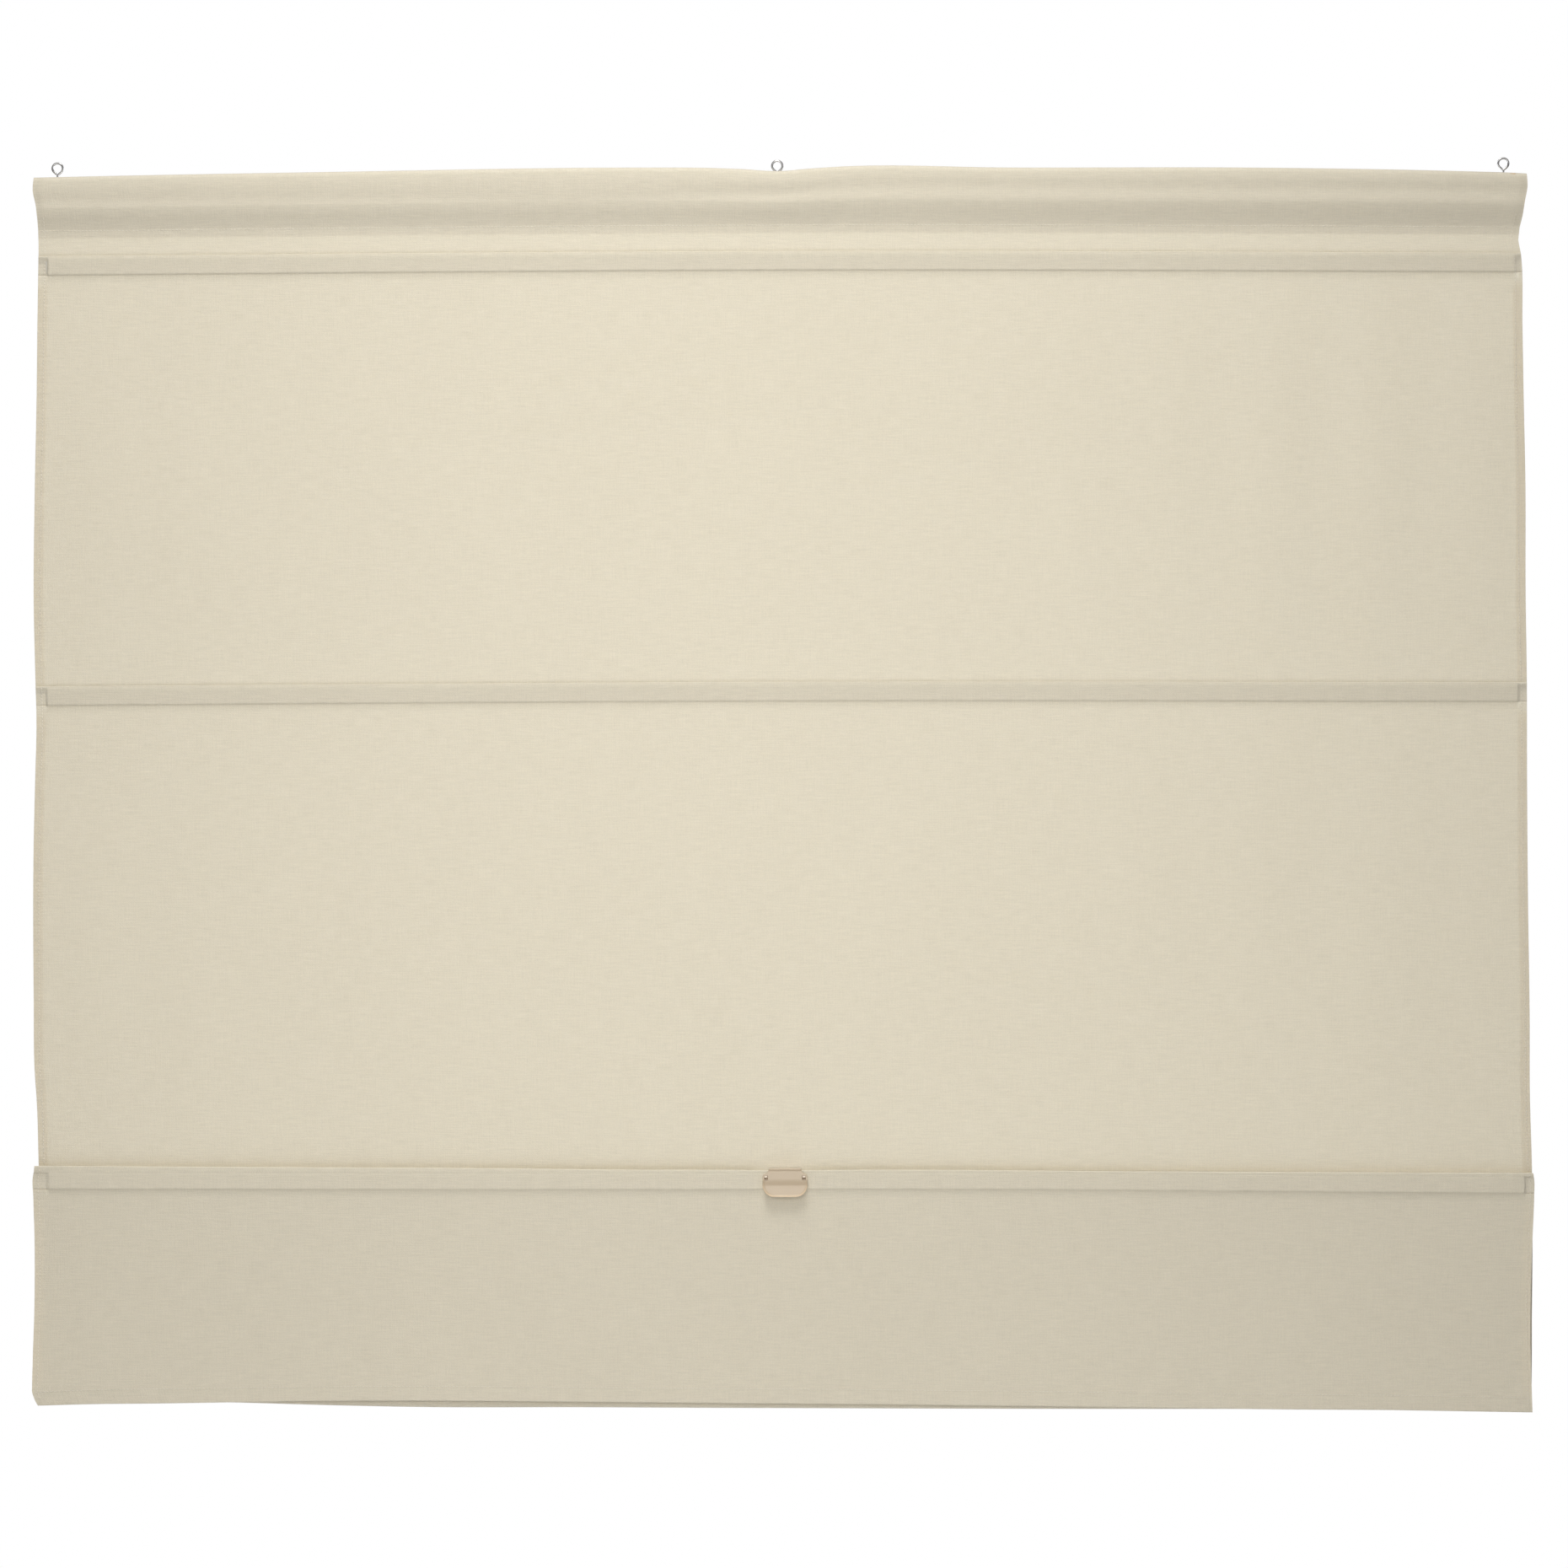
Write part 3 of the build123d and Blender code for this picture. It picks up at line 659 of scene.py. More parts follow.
class Cloth:
    """The hung cloth as a grid of centreline points, rows along it and columns across."""

    def __init__(self):
        hole_stops = [(mark, casing_top) for mark in HOLE_MARKS]
        slit_stops = [(0, SLIT_LOW), (0, SLIT_HIGH)]
        crease_stops = [(0, seam + rise) for seam in seams for rise in (0.8, 1.7, 2.9, 4.5, 6.3)]
        casing_stops = [(-casing_y, z) for z in np.arange(batten_bottom + 3, casing_top - 3, 4)]
        band_stops = [(plane_y - tuck_relief, seam - drop) for drop in (5.5, 9.5, 13.5, 16.0)
                      for plane_y, seam in [(0, z) for z in seams] + [(panel_y, fold_seam)]]
        hem_stops = [(panel_y, hem_edge + rise) for rise in (1.5, 4, 7.5, 11)]
        stops = hole_stops + slit_stops + crease_stops + casing_stops + band_stops + hem_stops
        self.rows = rounded(cloth_corners(), 13.5, stops)
        self.columns = column_places()
        self.y, self.z, self.angle = self.rows.T
        steps = np.hypot(np.diff(self.y), np.diff(self.z))
        self.along = np.concatenate([[0], np.cumsum(steps)])
        self.turn = self.along[int(np.argmin(self.z))]      # length at the pleat's bottom
        self.place_points()

    def place_points(self):
        x, y, z = self.columns, self.y, self.z
        turn = self.turn
        nose = self.along[self.index_at(panel_y, fold_seam, turn)]
        self.front = ramp(turn + 30, nose - 20, self.along)
        front = self.front[:, None]
        rise = (1 - front) * between_heights(rear_heights, x, z)
        rise += front * between_heights(front_heights, x, z)
        shift = (1 - front) * edge_shift(rear_left, rear_right, x, z)
        shift += front * edge_shift(front_left, front_right, x, z)
        depth = lower_depth(x, z, self.front) + casing_depth(x, y, z)
        depth += crease_depth(x, y, z) * (self.along < turn)[:, None]
        on_panel = ((np.abs(y) < 1.0) & (z > seams[2]) & (z < casing_stitch))[:, None]
        depth += on_panel * panel_depth(x, z)
        hung_x = x + np.minimum(shift, 0)       # only cloth that hangs further left counts
        for seam_z in seams:
            depth += tuck_end_depth(hung_x, y, z, 0, seam_z) * (self.along < turn)[:, None]
        over = (self.along > turn + 30)[:, None]
        depth += tuck_end_depth(hung_x, y, z, panel_y, fold_seam) * over
        self.points = np.stack([x + shift, y[:, None] + depth, z[:, None] + rise], axis=2)
        self.across = np.stack([np.zeros_like(y), -np.sin(self.angle), np.cos(self.angle)], axis=1)

    def top_row(self):
        """A row on the top of the casing."""
        return int(np.argmax(self.z))

    def index_at(self, y, z, after):
        """The row nearest a place in the section, among those past a length."""
        distance = np.hypot(self.y - y, self.z - z) + 1e6 * (self.along < after)
        return int(np.argmin(distance))

    def hem_layers(self):
        """Extra thickness at the back, where the side hems' two turned layers lie."""
        turned = 2 * cloth_thickness
        inner = middle_x + np.array((-1, 1)) * (half_width - side_hem_width)
        at_side = (self.columns < inner[0]) | (self.columns > inner[1])
        below_tuck = slat_drop + 12.0
        clear = 3.0
        rear = self.along < self.turn
        fore = self.along > self.turn
        runs = [(0, seam_z, end, rear) for seam_z, end in zip(seams, seams[1:] + [pleat_bottom])]
        runs += [(middle_y, fold_seam, pleat_bottom, fore),
                 (panel_y, fold_seam, hem_edge + hem_depth, fore)]
        on_run = np.zeros(len(self.along))
        for plane, seam_z, end, part in runs:
            top = seam_z - below_tuck
            flat = ramp(end + clear - 2, end + clear, self.z)
            flat = flat * (1 - ramp(top, top + 2, self.z))
            on_run += flat * (np.abs(self.y - plane) < 0.3) * part
        return turned * on_run[:, None] * at_side

    def sides(self):
        """Both faces of the cloth: the back one, to the left of the way it runs, and the front."""
        normal = self.across[:, None, :]
        back = self.points + normal * (half_cloth + self.hem_layers())[:, :, None]
        front = self.points - normal * half_cloth
        return back, front

    def open_cells(self):
        """Cells of the grid that are cut away: the eyes' holes and the hook's buttonhole."""
        cell_x = (self.columns[:-1] + self.columns[1:]) / 2
        cell_y = (self.y[:-1] + self.y[1:]) / 2
        cell_z = (self.z[:-1] + self.z[1:]) / 2
        at_top = (np.abs(cell_y) < EYE_HOLE) & (cell_z > casing_top - 0.01)
        at_slit = (np.abs(cell_y) < 0.1) & (cell_z > SLIT_LOW) & (cell_z < SLIT_HIGH)
        at_slit &= np.abs(self.y[:-1]) < 0.01
        cells = np.zeros((len(cell_y), len(cell_x)), dtype=bool)
        for place in eye_places.values():
            cells |= at_top[:, None] & (np.abs(cell_x - place) < EYE_HOLE)
        return cells | (at_slit[:, None] & (np.abs(cell_x - clip_x) < SLIT_HALF))

    def round_holes(self, grid):
        """Moves the corners of the eyes' holes in, so that the holes are round."""
        rows = np.nonzero((np.abs(self.y) < EYE_HOLE + 0.01) & (self.z > casing_top - 0.01))[0]
        for place in eye_places.values():
            columns = np.nonzero(np.abs(self.columns - place) < EYE_HOLE + 0.01)[0]
            for row in (rows[0], rows[-1]):
                for column in (columns[0], columns[-1]):
                    off = grid[row, column, :2] - (place, 0)
                    grid[row, column, :2] -= off * (1 - 1 / math.sqrt(2)) * 0.9
        return grid


def grid_faces(open_cells, rows, columns):
    """Faces of a closed sheet: both sides, and walls along its edges and holes."""
    def corner(row, column, side):
        return (side * rows + row) * columns + column

    faces = []
    for row in range(rows - 1):
        for column in range(columns - 1):
            if open_cells[row, column]:
                continue
            square = [(row, column), (row, column + 1), (row + 1, column + 1), (row + 1, column)]
            faces.append([corner(r, c, 0) for r, c in square])
            faces.append([corner(r, c, 1) for r, c in reversed(square)])
            beside = [(row - 1, column), (row, column + 1), (row + 1, column), (row, column - 1)]
            for index, (r, c) in enumerate(beside):
                if 0 <= r < rows - 1 and 0 <= c < columns - 1 and not open_cells[r, c]:
                    continue
                start, end = square[index], square[(index + 1) % 4]
                faces.append([corner(*start, 0), corner(*start, 1), corner(*end, 1), corner(*end, 0)])
    return faces


def make_cloth(cloth, material):
    back, front = (cloth.round_holes(side) for side in cloth.sides())
    rows, columns = len(cloth.along), len(cloth.columns)
    faces = grid_faces(cloth.open_cells(), rows, columns)
    vertices = np.concatenate([back.reshape(-1, 3), front.reshape(-1, 3)])
    piece = new_piece("cloth", vertices, faces, material, 50)
    flat = np.zeros((rows, columns, 3))
    flat[:, :, 0] = cloth.columns
    flat[:, :, 1] = cloth.along[:, None]
    flat = np.concatenate([flat.reshape(-1, 3)] * 2) * MM
    attribute = piece.data.attributes.new(FLAT, "FLOAT_VECTOR", "POINT")
    attribute.data.foreach_set("vector", flat.ravel())
    return piece


# ---------------------------------------------------------------- slats
def rounded_rectangle(width, height, radius, steps=4):
    """Points round a rectangle with rounded corners, centred on 0."""
    points = []
    for quarter, (side, up) in enumerate(((1, 1), (-1, 1), (-1, -1), (1, -1))):
        for step in range(steps + 1):
            angle = math.pi / 2 * (quarter + step / steps)
            points.append((side * (width / 2 - radius) + radius * math.cos(angle),
                           up * (height / 2 - radius) + radius * math.sin(angle)))
    return np.array(points)


def loft(rings):
    """Vertices and faces of a closed piece through rings of equal count."""
    rings = np.array(rings)
    count, sides = rings.shape[:2]
    faces = [list(range(sides)), [(count - 1) * sides + k for k in range(sides)]]
    for ring in range(count - 1):
        for k in range(sides):
            after = (k + 1) % sides
            faces.append([ring * sides + k, ring * sides + after,
                          (ring + 1) * sides + after, (ring + 1) * sides + k])
    return rings.reshape(-1, 3), faces


def make_slat(name, material):
    """A thin bar with rounded ends, bowed as the cloth round it hangs."""
    low, high = slat_boxes[name]
    centre = (low + high) / 2
    end_radius = 1.5
    near_end = end_radius * (1 - np.cos(np.linspace(0, math.pi / 2, 6)))
    inner = np.linspace(low[0] + 12, high[0] - 12, 90)
    places = np.concatenate([low[0] + near_end, inner, high[0] - near_end[::-1]])
    section = rounded_rectangle(slat_thickness, slat_width, 0.8)
    rises = through(slat_lines[name], places)
    rings = []
    for place, rise in zip(places, rises):
        inset = max(end_radius - min(place - low[0], high[0] - place), 0)
        shorter = end_radius - math.sqrt(max(end_radius ** 2 - inset ** 2, 0))
        scale = (slat_width - 2 * shorter) / slat_width
        rings.append([(place, centre[1] + y, centre[2] + rise + z * scale) for y, z in section])
    return new_piece(f"{name}_bar", *loft(rings), material)


# ---------------------------------------------------------------- screw eyes
def tube(path, radius_at, sides):
    """Rings round a path in the XZ plane; radius_at(ring, angle) gives the wire's radius."""
    path = np.array(path)
    tangent = np.gradient(path, axis=0)
    tangent /= np.linalg.norm(tangent, axis=1)[:, None]
    rings = []
    for ring, (point, along) in enumerate(zip(path, tangent)):
        aside = np.array((along[1], -along[0]))
        points = []
        for k in range(sides):
            angle = 2 * math.pi * k / sides
            radius = radius_at(ring, angle)
            off = aside * radius * math.cos(angle)
            points.append((point[0] + off[0], radius * math.sin(angle), point[1] + off[1]))
        rings.append(points)
    return loft(rings)


def eye_path(ring_radius, neck_drop, wire_radius, shank_end):
    """From the loop's free end, round the ring, into the neck and down the shank."""
    slope = math.asin(ring_radius / neck_drop)
    setback = (wire_radius * (1 + math.cos(2 * slope)) + 0.28) / math.sin(2 * slope)
    touch = np.array((ring_radius * math.cos(slope), -ring_radius * math.sin(slope)))
    left_touch = touch * (-1, 1)
    neck = np.array((0, -neck_drop))
    toward = (neck - left_touch) / np.linalg.norm(neck - left_touch)
    free_end = neck - toward * setback
    path = [free_end + (left_touch - free_end) * t for t in np.linspace(0, 1, 6)[:-1]]
    for angle in np.linspace(math.pi + slope, -slope, 57):
        path.append(ring_radius * np.array((math.cos(angle), math.sin(angle))))
    neck_radius = 1.5
    turn = math.pi / 2 - slope
    reach = neck_radius * math.tan(turn / 2)
    down = (neck - touch) / np.linalg.norm(neck - touch)
    start = neck - down * reach
    path += [touch + (start - touch) * t for t in np.linspace(0, 1, 6)[1:-1]]
    centre = np.array((neck_radius, -neck_drop - reach))
    for angle in np.linspace(math.pi - turn, math.pi, 8):
        path.append(centre + neck_radius * np.array((math.cos(angle), math.sin(angle))))
    shank = np.linspace(path[-1][1], shank_end, 110)[1:]
    return path + [np.array((0.0, z)) for z in shank]


def make_eye(side, material):
    """A screw eye with its loop bent to a teardrop and a thread cut on its shank."""
    low, high = eye_boxes[side]
    wire_radius = float(high[1] - low[1]) / 2
    ring_radius = float(high[2]) - wire_radius
    shank_end = float(low[2])
    tip_length, pitch, depth = 2.5, 0.95, 0.26
    path = eye_path(ring_radius, 6.3, wire_radius, shank_end)
    thread_top = float(batten_high[2]) - 1.0

    def radius_at(ring, angle):
        z = path[ring][1]
        if ring < 4:                    # the wire's cut end is slightly rounded
            return wire_radius * (0.86 + 0.14 * math.sin(math.pi / 2 * ring / 3))
        if z > thread_top or ring < len(path) // 2:
            return wire_radius
        taper = min(1.0, max((z - shank_end) / tip_length, 0.08))
        phase = ((z / pitch + angle / (2 * math.pi)) % 1.0)
        groove = depth * (1 - abs(2 * phase - 1)) * min(1.0, (thread_top - z) / pitch)
        return (wire_radius - groove) * taper

    vertices, faces = tube(path, radius_at, 20)
    vertices = vertices + (eye_places[side], 0, 0)
    return new_piece(f"screw_eye_{side}_wire", vertices, faces, material, 60)


# ---------------------------------------------------------------- clip and grip
GRIP_WALL = 2.0
GRIP_EDGE = 0.3             # radius of its rounded edges
grip_top = float(grip_high[2])
grip_lip = float(grip_low[2])
grip_half = float(grip_high[0] - grip_low[0]) / 2
grip_corner = 11.0
grip_bend = fold_top - 10.5
window_low, window_high = fold_top - 9.2, fold_top - 4.9
window_inner, window_outer = 16.0, 19.6
lobe_low = fold_top - 5.6    # below this the grip has its full width
shoulder_line = ((grip_top, 15.2), (fold_top - 1.0, 15.8), (fold_top - 2.4, 16.8),
                 (fold_top - 3.3, 18.6), (fold_top - 4.3, 20.2), (lobe_low, 20.9))


def grip_rows():
    """Heights down the grip and its half width at each."""
    heights = [grip_top - drop for drop in (0, 0.125, 0.3, 0.525, 0.8)]
    heights += list(np.arange(heights[-1] - 0.3, lobe_low, -0.3))
    heights += [window_high, window_low]
    corner_top = grip_lip + grip_corner
    heights += list(np.arange(fold_top - 5.8, corner_top, -0.36))
    heights = sorted({round(float(height), 4) for height in heights}, reverse=True)
    heights = [z for n, z in enumerate(heights) if n == 0 or heights[n - 1] - z > 0.06
               or z in (round(window_high, 4), round(window_low, 4))]
    shoulder = through(shoulder_line[::-1], heights)
    widths = [min(float(width), grip_half) if z > lobe_low else grip_half
              for z, width in zip(heights, shoulder)]
    for angle in np.linspace(0, math.pi / 2, 34)[1:]:
        heights.append(corner_top - grip_corner * math.sin(angle))
        widths.append(grip_half - grip_corner * (1 - math.cos(angle)))
    return np.array(heights), np.array(widths)


def grip_columns():
    """Shares of the half width, closer at the edges and at the windows."""
    insets = [0, 0.12, 0.3, 0.55, 0.9, 1.05, 1.4, 2.0, 2.7, 3.4, 4.2, 5.0]
    side = [1 - inset / grip_half for inset in insets]
    inner = list(np.linspace(window_inner / grip_half, 0, 34))
    shares = sorted({round(share, 5) for share in side + inner + [window_outer / grip_half]})
    return np.array([-share for share in shares[::-1] if share > 0] + shares)


def grip_face(z, inset):
    """How far forward the grip's face stands, down its middle and near its outline."""
    front = clip_low_face - 0.1 - GRIP_WALL
    face = np.full_like(inset, front)
    face -= (0.45 * ramp(fold_top - 0.8, fold_top + 0.9, z))[:, None]
    hollow = 0.5 * ramp(grip_bend + 2.8, grip_bend - 4.0, z)
    hollow += 0.5 * ramp(grip_bend + 0.5, grip_bend - 8.0, z)
    forward = 0.12 * np.maximum(grip_bend - 4.0 - z, 0)
    face += (hollow - forward)[:, None]
    low = 0.55 + 0.45 * ramp(grip_bend - 4.0, grip_lip + 2.0, z)
    curl = 1.9 * np.clip(1 - inset / 1.9, 0, 1) ** 1.1 + 0.4 * np.clip(1 - inset / 0.5, 0, 1)
    return face - (low * ramp(grip_bend + 3.0, grip_bend - 0.5, z))[:, None] * curl


def make_grip(material):
    """The pull grip: a neck and two lobes over a scooped plate that curls out to a lip."""
    heights, widths = grip_rows()
    shares = grip_columns()
    x = widths[:, None] * shares
    z = np.repeat(heights[:, None], len(shares), axis=1)
    outline = np.concatenate([np.stack([widths, heights], 1), np.stack([-widths, heights], 1),
                              [(share * widths[-1], grip_lip) for share in shares],
                              [(share * widths[0], grip_top) for share in shares]])
    grid = np.stack([x, z], axis=2)
    inset = np.min(np.linalg.norm(grid[:, :, None, :] - outline[None, None], axis=3), axis=2)
    face = grip_face(heights, inset)
    near_edge = np.clip(GRIP_EDGE - inset, 0, GRIP_EDGE)
    rounding = GRIP_EDGE - np.sqrt(GRIP_EDGE ** 2 - near_edge ** 2)
    front = np.stack([x + clip_x, face + rounding, z], axis=2)
    back = np.stack([x + clip_x, face + GRIP_WALL - rounding * 0.8, z], axis=2)
    back[:, :, 1] = np.minimum(back[:, :, 1], clip_low_face - 0.1 + 3 * ramp(
        grip_bend + 1.5, grip_bend, heights)[:, None])
    cell_x = np.abs((x[:-1, :-1] + x[1:, 1:]) / 2)
    cell_z = (z[:-1, :-1] + z[1:, 1:]) / 2
    cut = (cell_z > window_low) & (cell_z < window_high)
    cut &= (cell_x > window_inner) & (cell_x < window_outer)
    faces = grid_faces(cut, len(heights), len(shares))
    vertices = np.concatenate([front.reshape(-1, 3), back.reshape(-1, 3)])
    piece = new_piece("pull_grip_moulding", vertices, faces, material, 50)
    # Mask of the painted highlight: 1 along the lower lip's edge, fading inwards and upwards.
    highlight_mask = ramp(1.7, 0.9, inset) * ramp(grip_bend + 1.0, grip_bend - 5.0, z)
    attribute = piece.data.attributes.new(HIGHLIGHT_ATTRIBUTE, "FLOAT", "POINT")
    attribute.data.foreach_set("value", np.concatenate([highlight_mask.ravel()] * 2))
    return piece


def shorten_tongues(points):
    """Leaves a dark gap in each window of the grip, below the clip's rounded tongue."""
    x, y, z = points.T
    tongue_half = 1.5
    tongue_top = fold_top - 6.6 + tongue_half
    tongue = (y < clip_low_face - 0.15) & (np.abs(z - tongue_top + tongue_half) < 2.0)
    drop = np.clip(tongue_top - z, 0, 2 * tongue_half)
    y = np.where(tongue, y + 0.9 - 0.5 * drop, y)
    z = np.where(tongue, tongue_top + 0.3 - drop * 0.65, z)
    return np.stack([x, y, z], axis=1)


def soften(node, name, material, voxel, rounds, reshape):
    """A finer copy of a moulded CAD piece, whose edges are rounded as a mould leaves them."""
    rough = add_object(name + "_rough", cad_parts[node].data.copy())
    remesh = rough.modifiers.new("remesh", "REMESH")
    remesh.mode = "VOXEL"
    remesh.voxel_size = voxel * MM
    smooth = rough.modifiers.new("smooth", "SMOOTH")
    smooth.factor = 0.5
    smooth.iterations = rounds
    graph = bpy.context.evaluated_depsgraph_get()
    mesh = bpy.data.meshes.new_from_object(rough.evaluated_get(graph))
    bpy.data.objects.remove(rough)
    points = np.zeros(3 * len(mesh.vertices))
    mesh.vertices.foreach_get("co", points)
    points = reshape(points.reshape(-1, 3) / MM) * MM
    mesh.vertices.foreach_set("co", points.ravel())
    mesh.update()
    mesh.materials.clear()
    mesh.materials.append(material)
    mesh.shade_smooth()
    return add_object(name, mesh)


# ---------------------------------------------------------------- stitches
STITCH_PITCH = 3.4
STITCH_LENGTH = 2.5
THREAD_RADIUS = 0.26


def on_cloth(cloth, grid, x, along):
    """Points on one face of the cloth at places across it and along it."""
    row = np.interp(along, cloth.along, np.arange(len(cloth.along)))
    column = np.interp(x, cloth.columns, np.arange(len(cloth.columns)))
    r = np.minimum(row.astype(int), len(cloth.along) - 2)
    c = np.minimum(column.astype(int), len(cloth.columns) - 2)
    tr, tc = (row - r)[:, None], (column - c)[:, None]
    upper = grid[r, c] * (1 - tc) + grid[r, c + 1] * tc
    lower = grid[r + 1, c] * (1 - tc) + grid[r + 1, c + 1] * tc
    return upper * (1 - tr) + lower * tr


def stitch_row(points, outward):
    """Short bars of thread along a line on the cloth, whose ends dip into it."""
    steps = np.linalg.norm(np.diff(points, axis=0), axis=1)
    along = np.concatenate([[0], np.cumsum(steps)])
    vertices, faces = [], []
    sides = 5
    shape = ((0.0, -0.10, 0.5), (0.14, 0.10, 0.95), (0.5, 0.16, 1.0), (0.86, 0.10, 0.95),
             (1.0, -0.10, 0.5))         # place, height over the cloth, thickness
    for number in range(int(along[-1] / STITCH_PITCH)):
        start = number * STITCH_PITCH
        places = [start + STITCH_LENGTH * place for place, _, _ in shape]
        centres = np.stack([np.interp(places, along, points[:, k]) for k in range(3)], axis=1)
        direction = centres[-1] - centres[0]
        direction /= np.linalg.norm(direction)
        out = np.array((0.0, outward, 0.0))
        aside = np.cross(direction, out)
        rings = []
        for centre, (_, height, thickness) in zip(centres, shape):
            ring = []
            for k in range(sides):
                angle = 2 * math.pi * k / sides
                off = out * (height + THREAD_RADIUS * thickness * math.cos(angle))
                ring.append(centre + off + aside * THREAD_RADIUS * thickness * math.sin(angle))
            rings.append(ring)
        ring_vertices, ring_faces = loft(rings)
        base = len(vertices)
        vertices += ring_vertices.tolist()
        faces += [[base + k for k in face] for face in ring_faces]
    return vertices, faces


def make_stitches(name, rows, material):
    vertices, faces = [], []
    for points, outward in rows:
        row_vertices, row_faces = stitch_row(points, outward)
        base = len(vertices)
        vertices += row_vertices
        faces += [[base + k for k in face] for face in row_faces]
    return new_piece(name, vertices, faces, material, 70)


def side_stitch_rows(cloth, back, front):
    """Stitches of the side hems, on the runs of cloth that show at the front and back."""
    inset_left = ((-1166, 5.0), (-600, 5.4), (-300, 6.2), (-50, 6.0))
    inset_right = ((-1166, 3.6), (-900, 3.8), (-600, 4.6), (-300, 6.8), (-50, 6.5))
    stitch = cloth.along[cloth.index_at(0, casing_stitch, cloth.along[cloth.top_row()])]
    starts = [stitch - 14]
    ends = []
    for seam_z in seams:
        seam_along = cloth.along[cloth.index_at(0, seam_z - 0.3, stitch)]
        ends.append(seam_along)
        starts.append(cloth.along[cloth.index_at(-2 * layer_pitch, seam_z, seam_along)])
    ends.append(cloth.turn)
    neck = cloth.index_at(panel_y - 2 * layer_pitch, fold_seam, cloth.turn)
    hem = cloth.index_at(panel_y, hem_edge + half_cloth, cloth.turn)
    runs = list(zip(starts[:3], ends[:3])) + [(cloth.along[neck], cloth.along[hem] - 1.0)]
    rows = []

    def add_both_sides(face, outward, start, end):
        along = np.arange(start, end, 1.0)
        z = np.interp(along, cloth.along, cloth.z)
        for x in (left_x + through(inset_left, z), right_x - through(inset_right, z)):
            rows.append((on_cloth(cloth, face, x, along), outward))

    for start, end in runs:
        add_both_sides(front, -1, start + 1.2, end - 1.2)
    for seam_z, end in zip(seams, ends[1:]):
        top = cloth.along[cloth.index_at(0, seam_z - slat_drop - 14, stitch)]
        add_both_sides(back, 1, top, end - 3)
    return rows


def casing_and_hem_rows(cloth, front):
    """The casing's stitches and the hem's, on both faces of the blind."""
    x = np.arange(left_x + 3, right_x - 3, 1.0)
    over = cloth.along[cloth.top_row()]
    casing_front = cloth.along[cloth.index_at(0, casing_stitch, over)]
    casing_back = cloth.along[cloth.index_at(2 * layer_pitch, casing_stitch, 0)]
    edge = cloth.along[cloth.index_at(panel_y, hem_edge + half_cloth, cloth.turn)]
    height = through(((-697, 12.4), (-620, 13.3), (-413, 13.6), (703, 13.6)), x)
    hem_front = edge - height + 0.3
    hem_back = edge + height + 1.2
    return [
        (on_cloth(cloth, front, x, np.full_like(x, casing_front)), -1),
        (on_cloth(cloth, front, x, np.full_like(x, casing_back)), 1),
        (on_cloth(cloth, front, x, hem_front), -1),
        (on_cloth(cloth, front, x, hem_back), 1),
    ]


# ---------------------------------------------------------------- the blind
def build_blind():
    cloth = Cloth()
    cloth_look = cloth_material()
    thread_look = thread_material()
    back, front = cloth.sides()
    sheet = make_cloth(cloth, cloth_look)
    side_rows = side_stitch_rows(cloth, back, front)
    hem_rows = casing_and_hem_rows(cloth, front)
    threads = [make_stitches("side_hem_stitches", side_rows, thread_look),
               make_stitches("casing_and_hem_stitches", hem_rows, thread_look)]
    for piece in (sheet, *threads):
        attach(piece, BODY)
    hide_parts("fabric")

    slat_look = slat_material()
    for name in slat_boxes:
        slat = make_slat(name, slat_look)
        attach(slat, BODY)
        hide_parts(name)

    wire_look = wire_material()
    for side in eye_places:
        eye = make_eye(side, wire_look)
        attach(eye, BODY)
        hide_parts(f"screw_eye_{side}")

    clip = soften("hook_clip", "hook_clip_moulding",
                  moulded_material("clip_plastic", (0.56, 0.45, 0.325)), 0.26, 3,
                  shorten_tongues)
    # The grip's plastic carries a painted highlight, 0.3 paler along its lip's edge.
    grip = make_grip(moulded_material("grip_plastic", (0.55, 0.437, 0.302), 0.3))
    for piece, node, slot in ((clip, "hook_clip", "clip_plastic"), (grip, "pull_grip", "grip_plastic")):
        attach(piece, BODY)
        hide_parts(node)

    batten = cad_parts["top_batten"]
    batten.data.materials.clear()
    batten.data.materials.append(wood_material())


# ---------------------------------------------------------------- floor, light and camera
def make_floor():
    """A plain pale round floor below the blind."""
    shader = Shader("pale_floor", (0.7, 0.7, 0.69), 0.7)
    cloud = shader.noise(shader.place((2, 2, 2)), 2)
    shader.shade(shader.total([(cloud, 0.02)]))
    mesh = bpy.data.meshes.new("floor")
    shape = bmesh.new()
    bmesh.ops.create_circle(shape, cap_ends=True, radius=1.4, segments=96)
    shape.to_mesh(mesh)
    shape.free()
    mesh.materials.append(shader.material)
    floor = add_object("floor", mesh)
    floor.location = (0, 0, -1.6)


def add_light(name, place, target, size, watts, colour=(1, 1, 1)):
    light = bpy.data.lights.new(name, "AREA")
    light.shape = "DISK"
    light.size = size
    light.energy = watts
    light.color = colour
    lamp = add_object(name, light)
    lamp.location = place
    lamp.rotation_euler = (Vector(target) - Vector(place)).to_track_quat("-Z", "Y").to_euler()


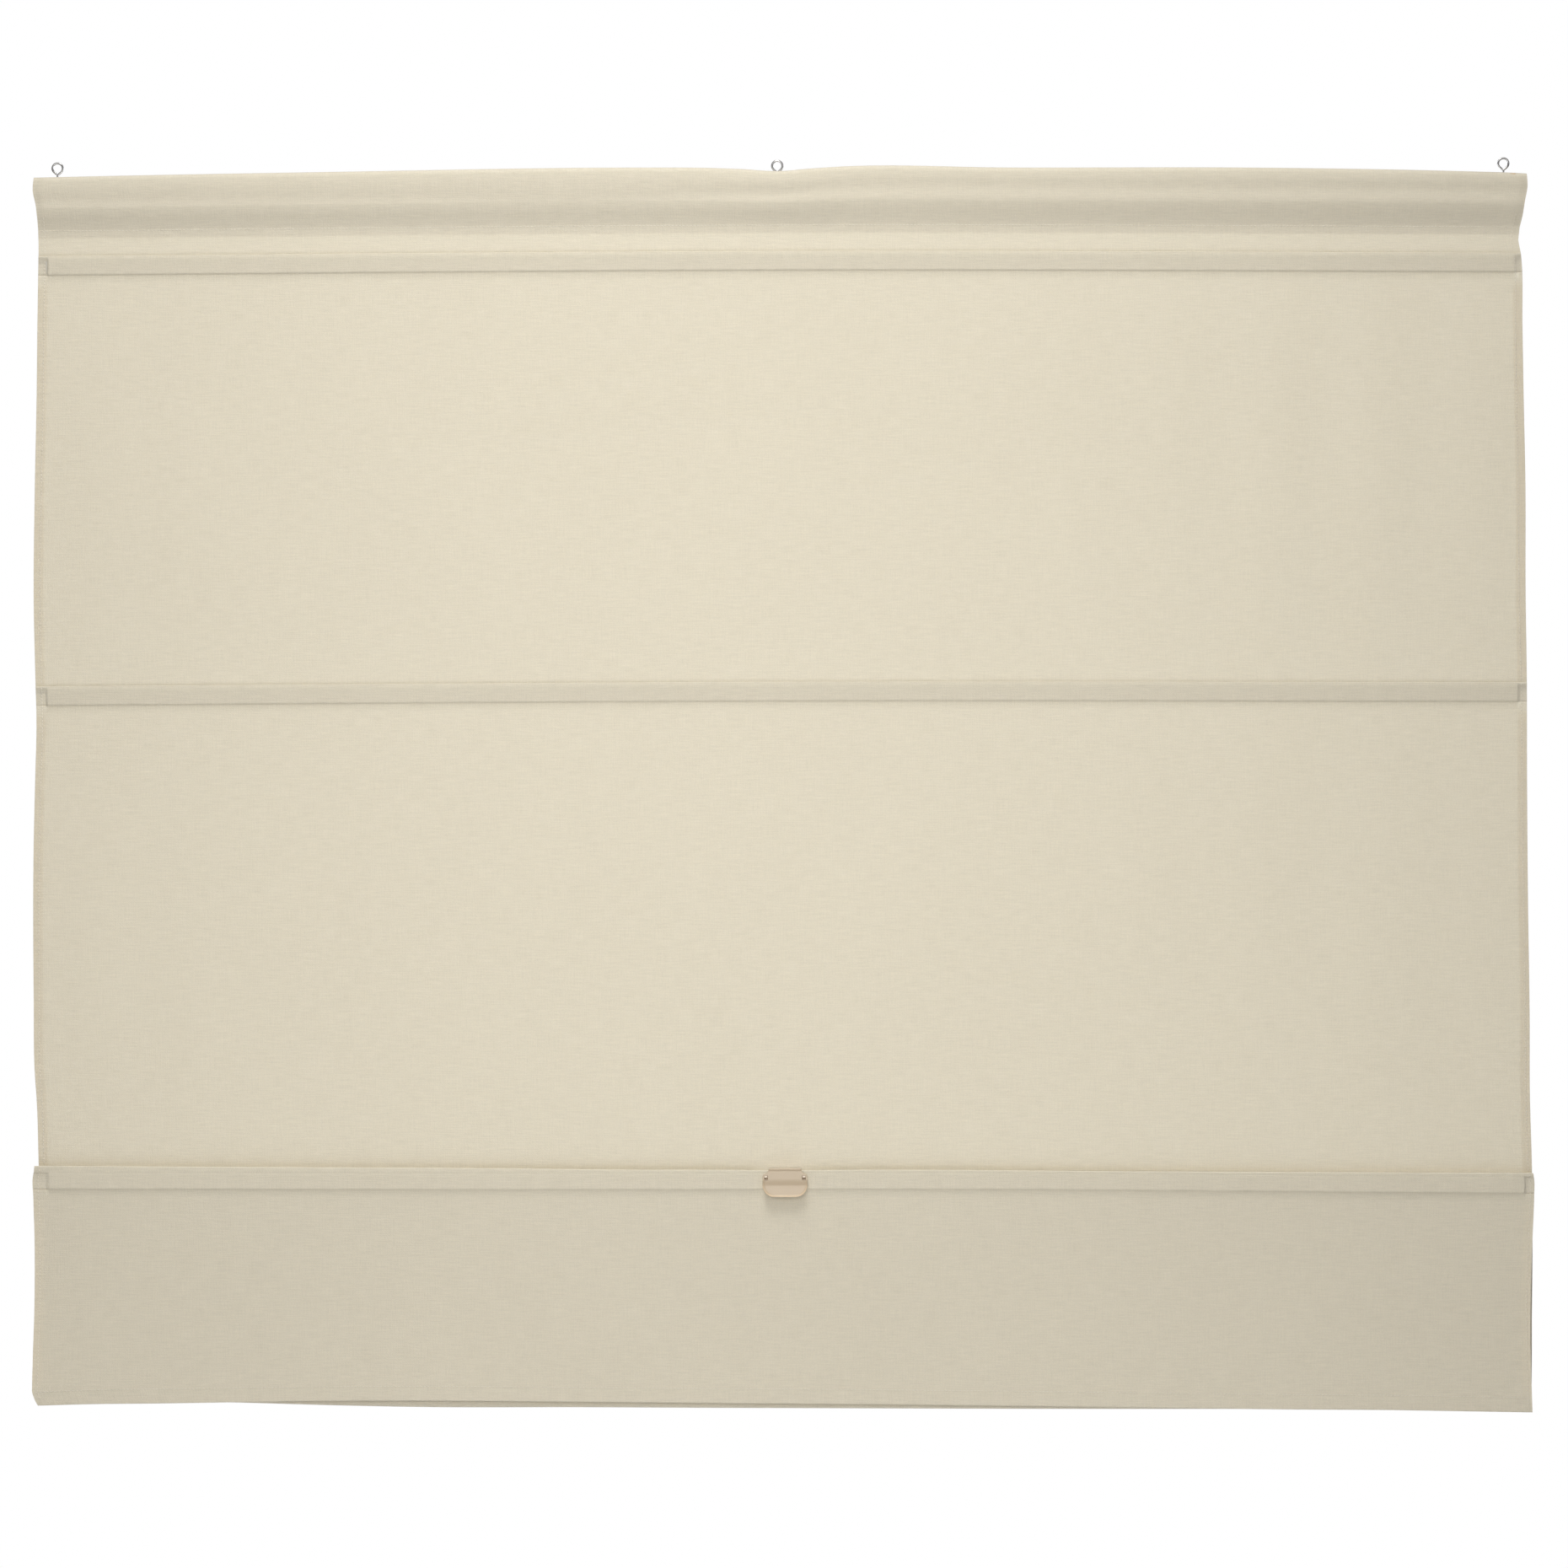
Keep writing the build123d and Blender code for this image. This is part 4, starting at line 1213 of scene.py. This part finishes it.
def add_sun(name, place, degrees_wide, strength):
    """A far lamp, seen from the blind in the direction of place."""
    light = bpy.data.lights.new(name, "SUN")
    light.angle = math.radians(degrees_wide)
    light.energy = strength
    lamp = add_object(name, light)
    lamp.location = place
    lamp.rotation_euler = Vector(place).to_track_quat("Z", "Y").to_euler()


def light_studio():
    """White surroundings, dimmer as light than as background, and soft lights in front."""
    world = bpy.data.worlds.new("studio")
    bpy.context.scene.world = world
    world.use_nodes = True
    nodes = world.node_tree.nodes
    path = nodes.new("ShaderNodeLightPath")
    mix = nodes.new("ShaderNodeMix")
    mix.data_type = "FLOAT"
    mix.inputs["A"].default_value = 0.22
    mix.inputs["B"].default_value = 1.0
    world.node_tree.links.new(path.outputs["Is Camera Ray"], mix.inputs["Factor"])
    world.node_tree.links.new(mix.outputs["Result"], nodes["Background"].inputs["Strength"])
    nodes["Background"].inputs["Color"].default_value = (1, 1, 1, 1)
    add_light("low_key", (-0.12, -1.6, -0.85), (-0.05, 0, -0.75), 0.9, 7.7)
    add_light("high_key", (-0.12, -1.45, -0.25), (-0.05, 0, -0.45), 0.7, 3.3)
    add_light("ceiling", (-0.12, -0.9, 1.3), (-0.05, 0, -0.7), 0.8, 18.6)
    add_light("back", (0.3, 2.2, -0.1), (0, 0, -0.5), 1.2, 40, (0.92, 0.98, 1.12))
    add_sun("sky", (-0.12, -1, 1.9), 35, 0.65)


def place_camera():
    """Straight in front, from far off, turned a fifth of a degree."""
    frame_width = 1473 * MM
    distance = 8.0
    middle_across, middle_height = 4.3 * MM, -580.6 * MM
    roll = math.radians(0.2)
    data = bpy.data.cameras.new("camera")
    data.sensor_width = 36.0
    data.lens = data.sensor_width * distance / frame_width
    data.clip_end = 100
    camera = add_object("camera", data)
    camera.location = (middle_across, -distance, middle_height)
    camera.rotation_euler = (math.pi / 2, roll, 0)
    bpy.context.scene.camera = camera


build_blind()
make_floor()
light_studio()
place_camera()
bpy.context.scene.view_settings.view_transform = "Standard"

bpy.context.view_layer.update()
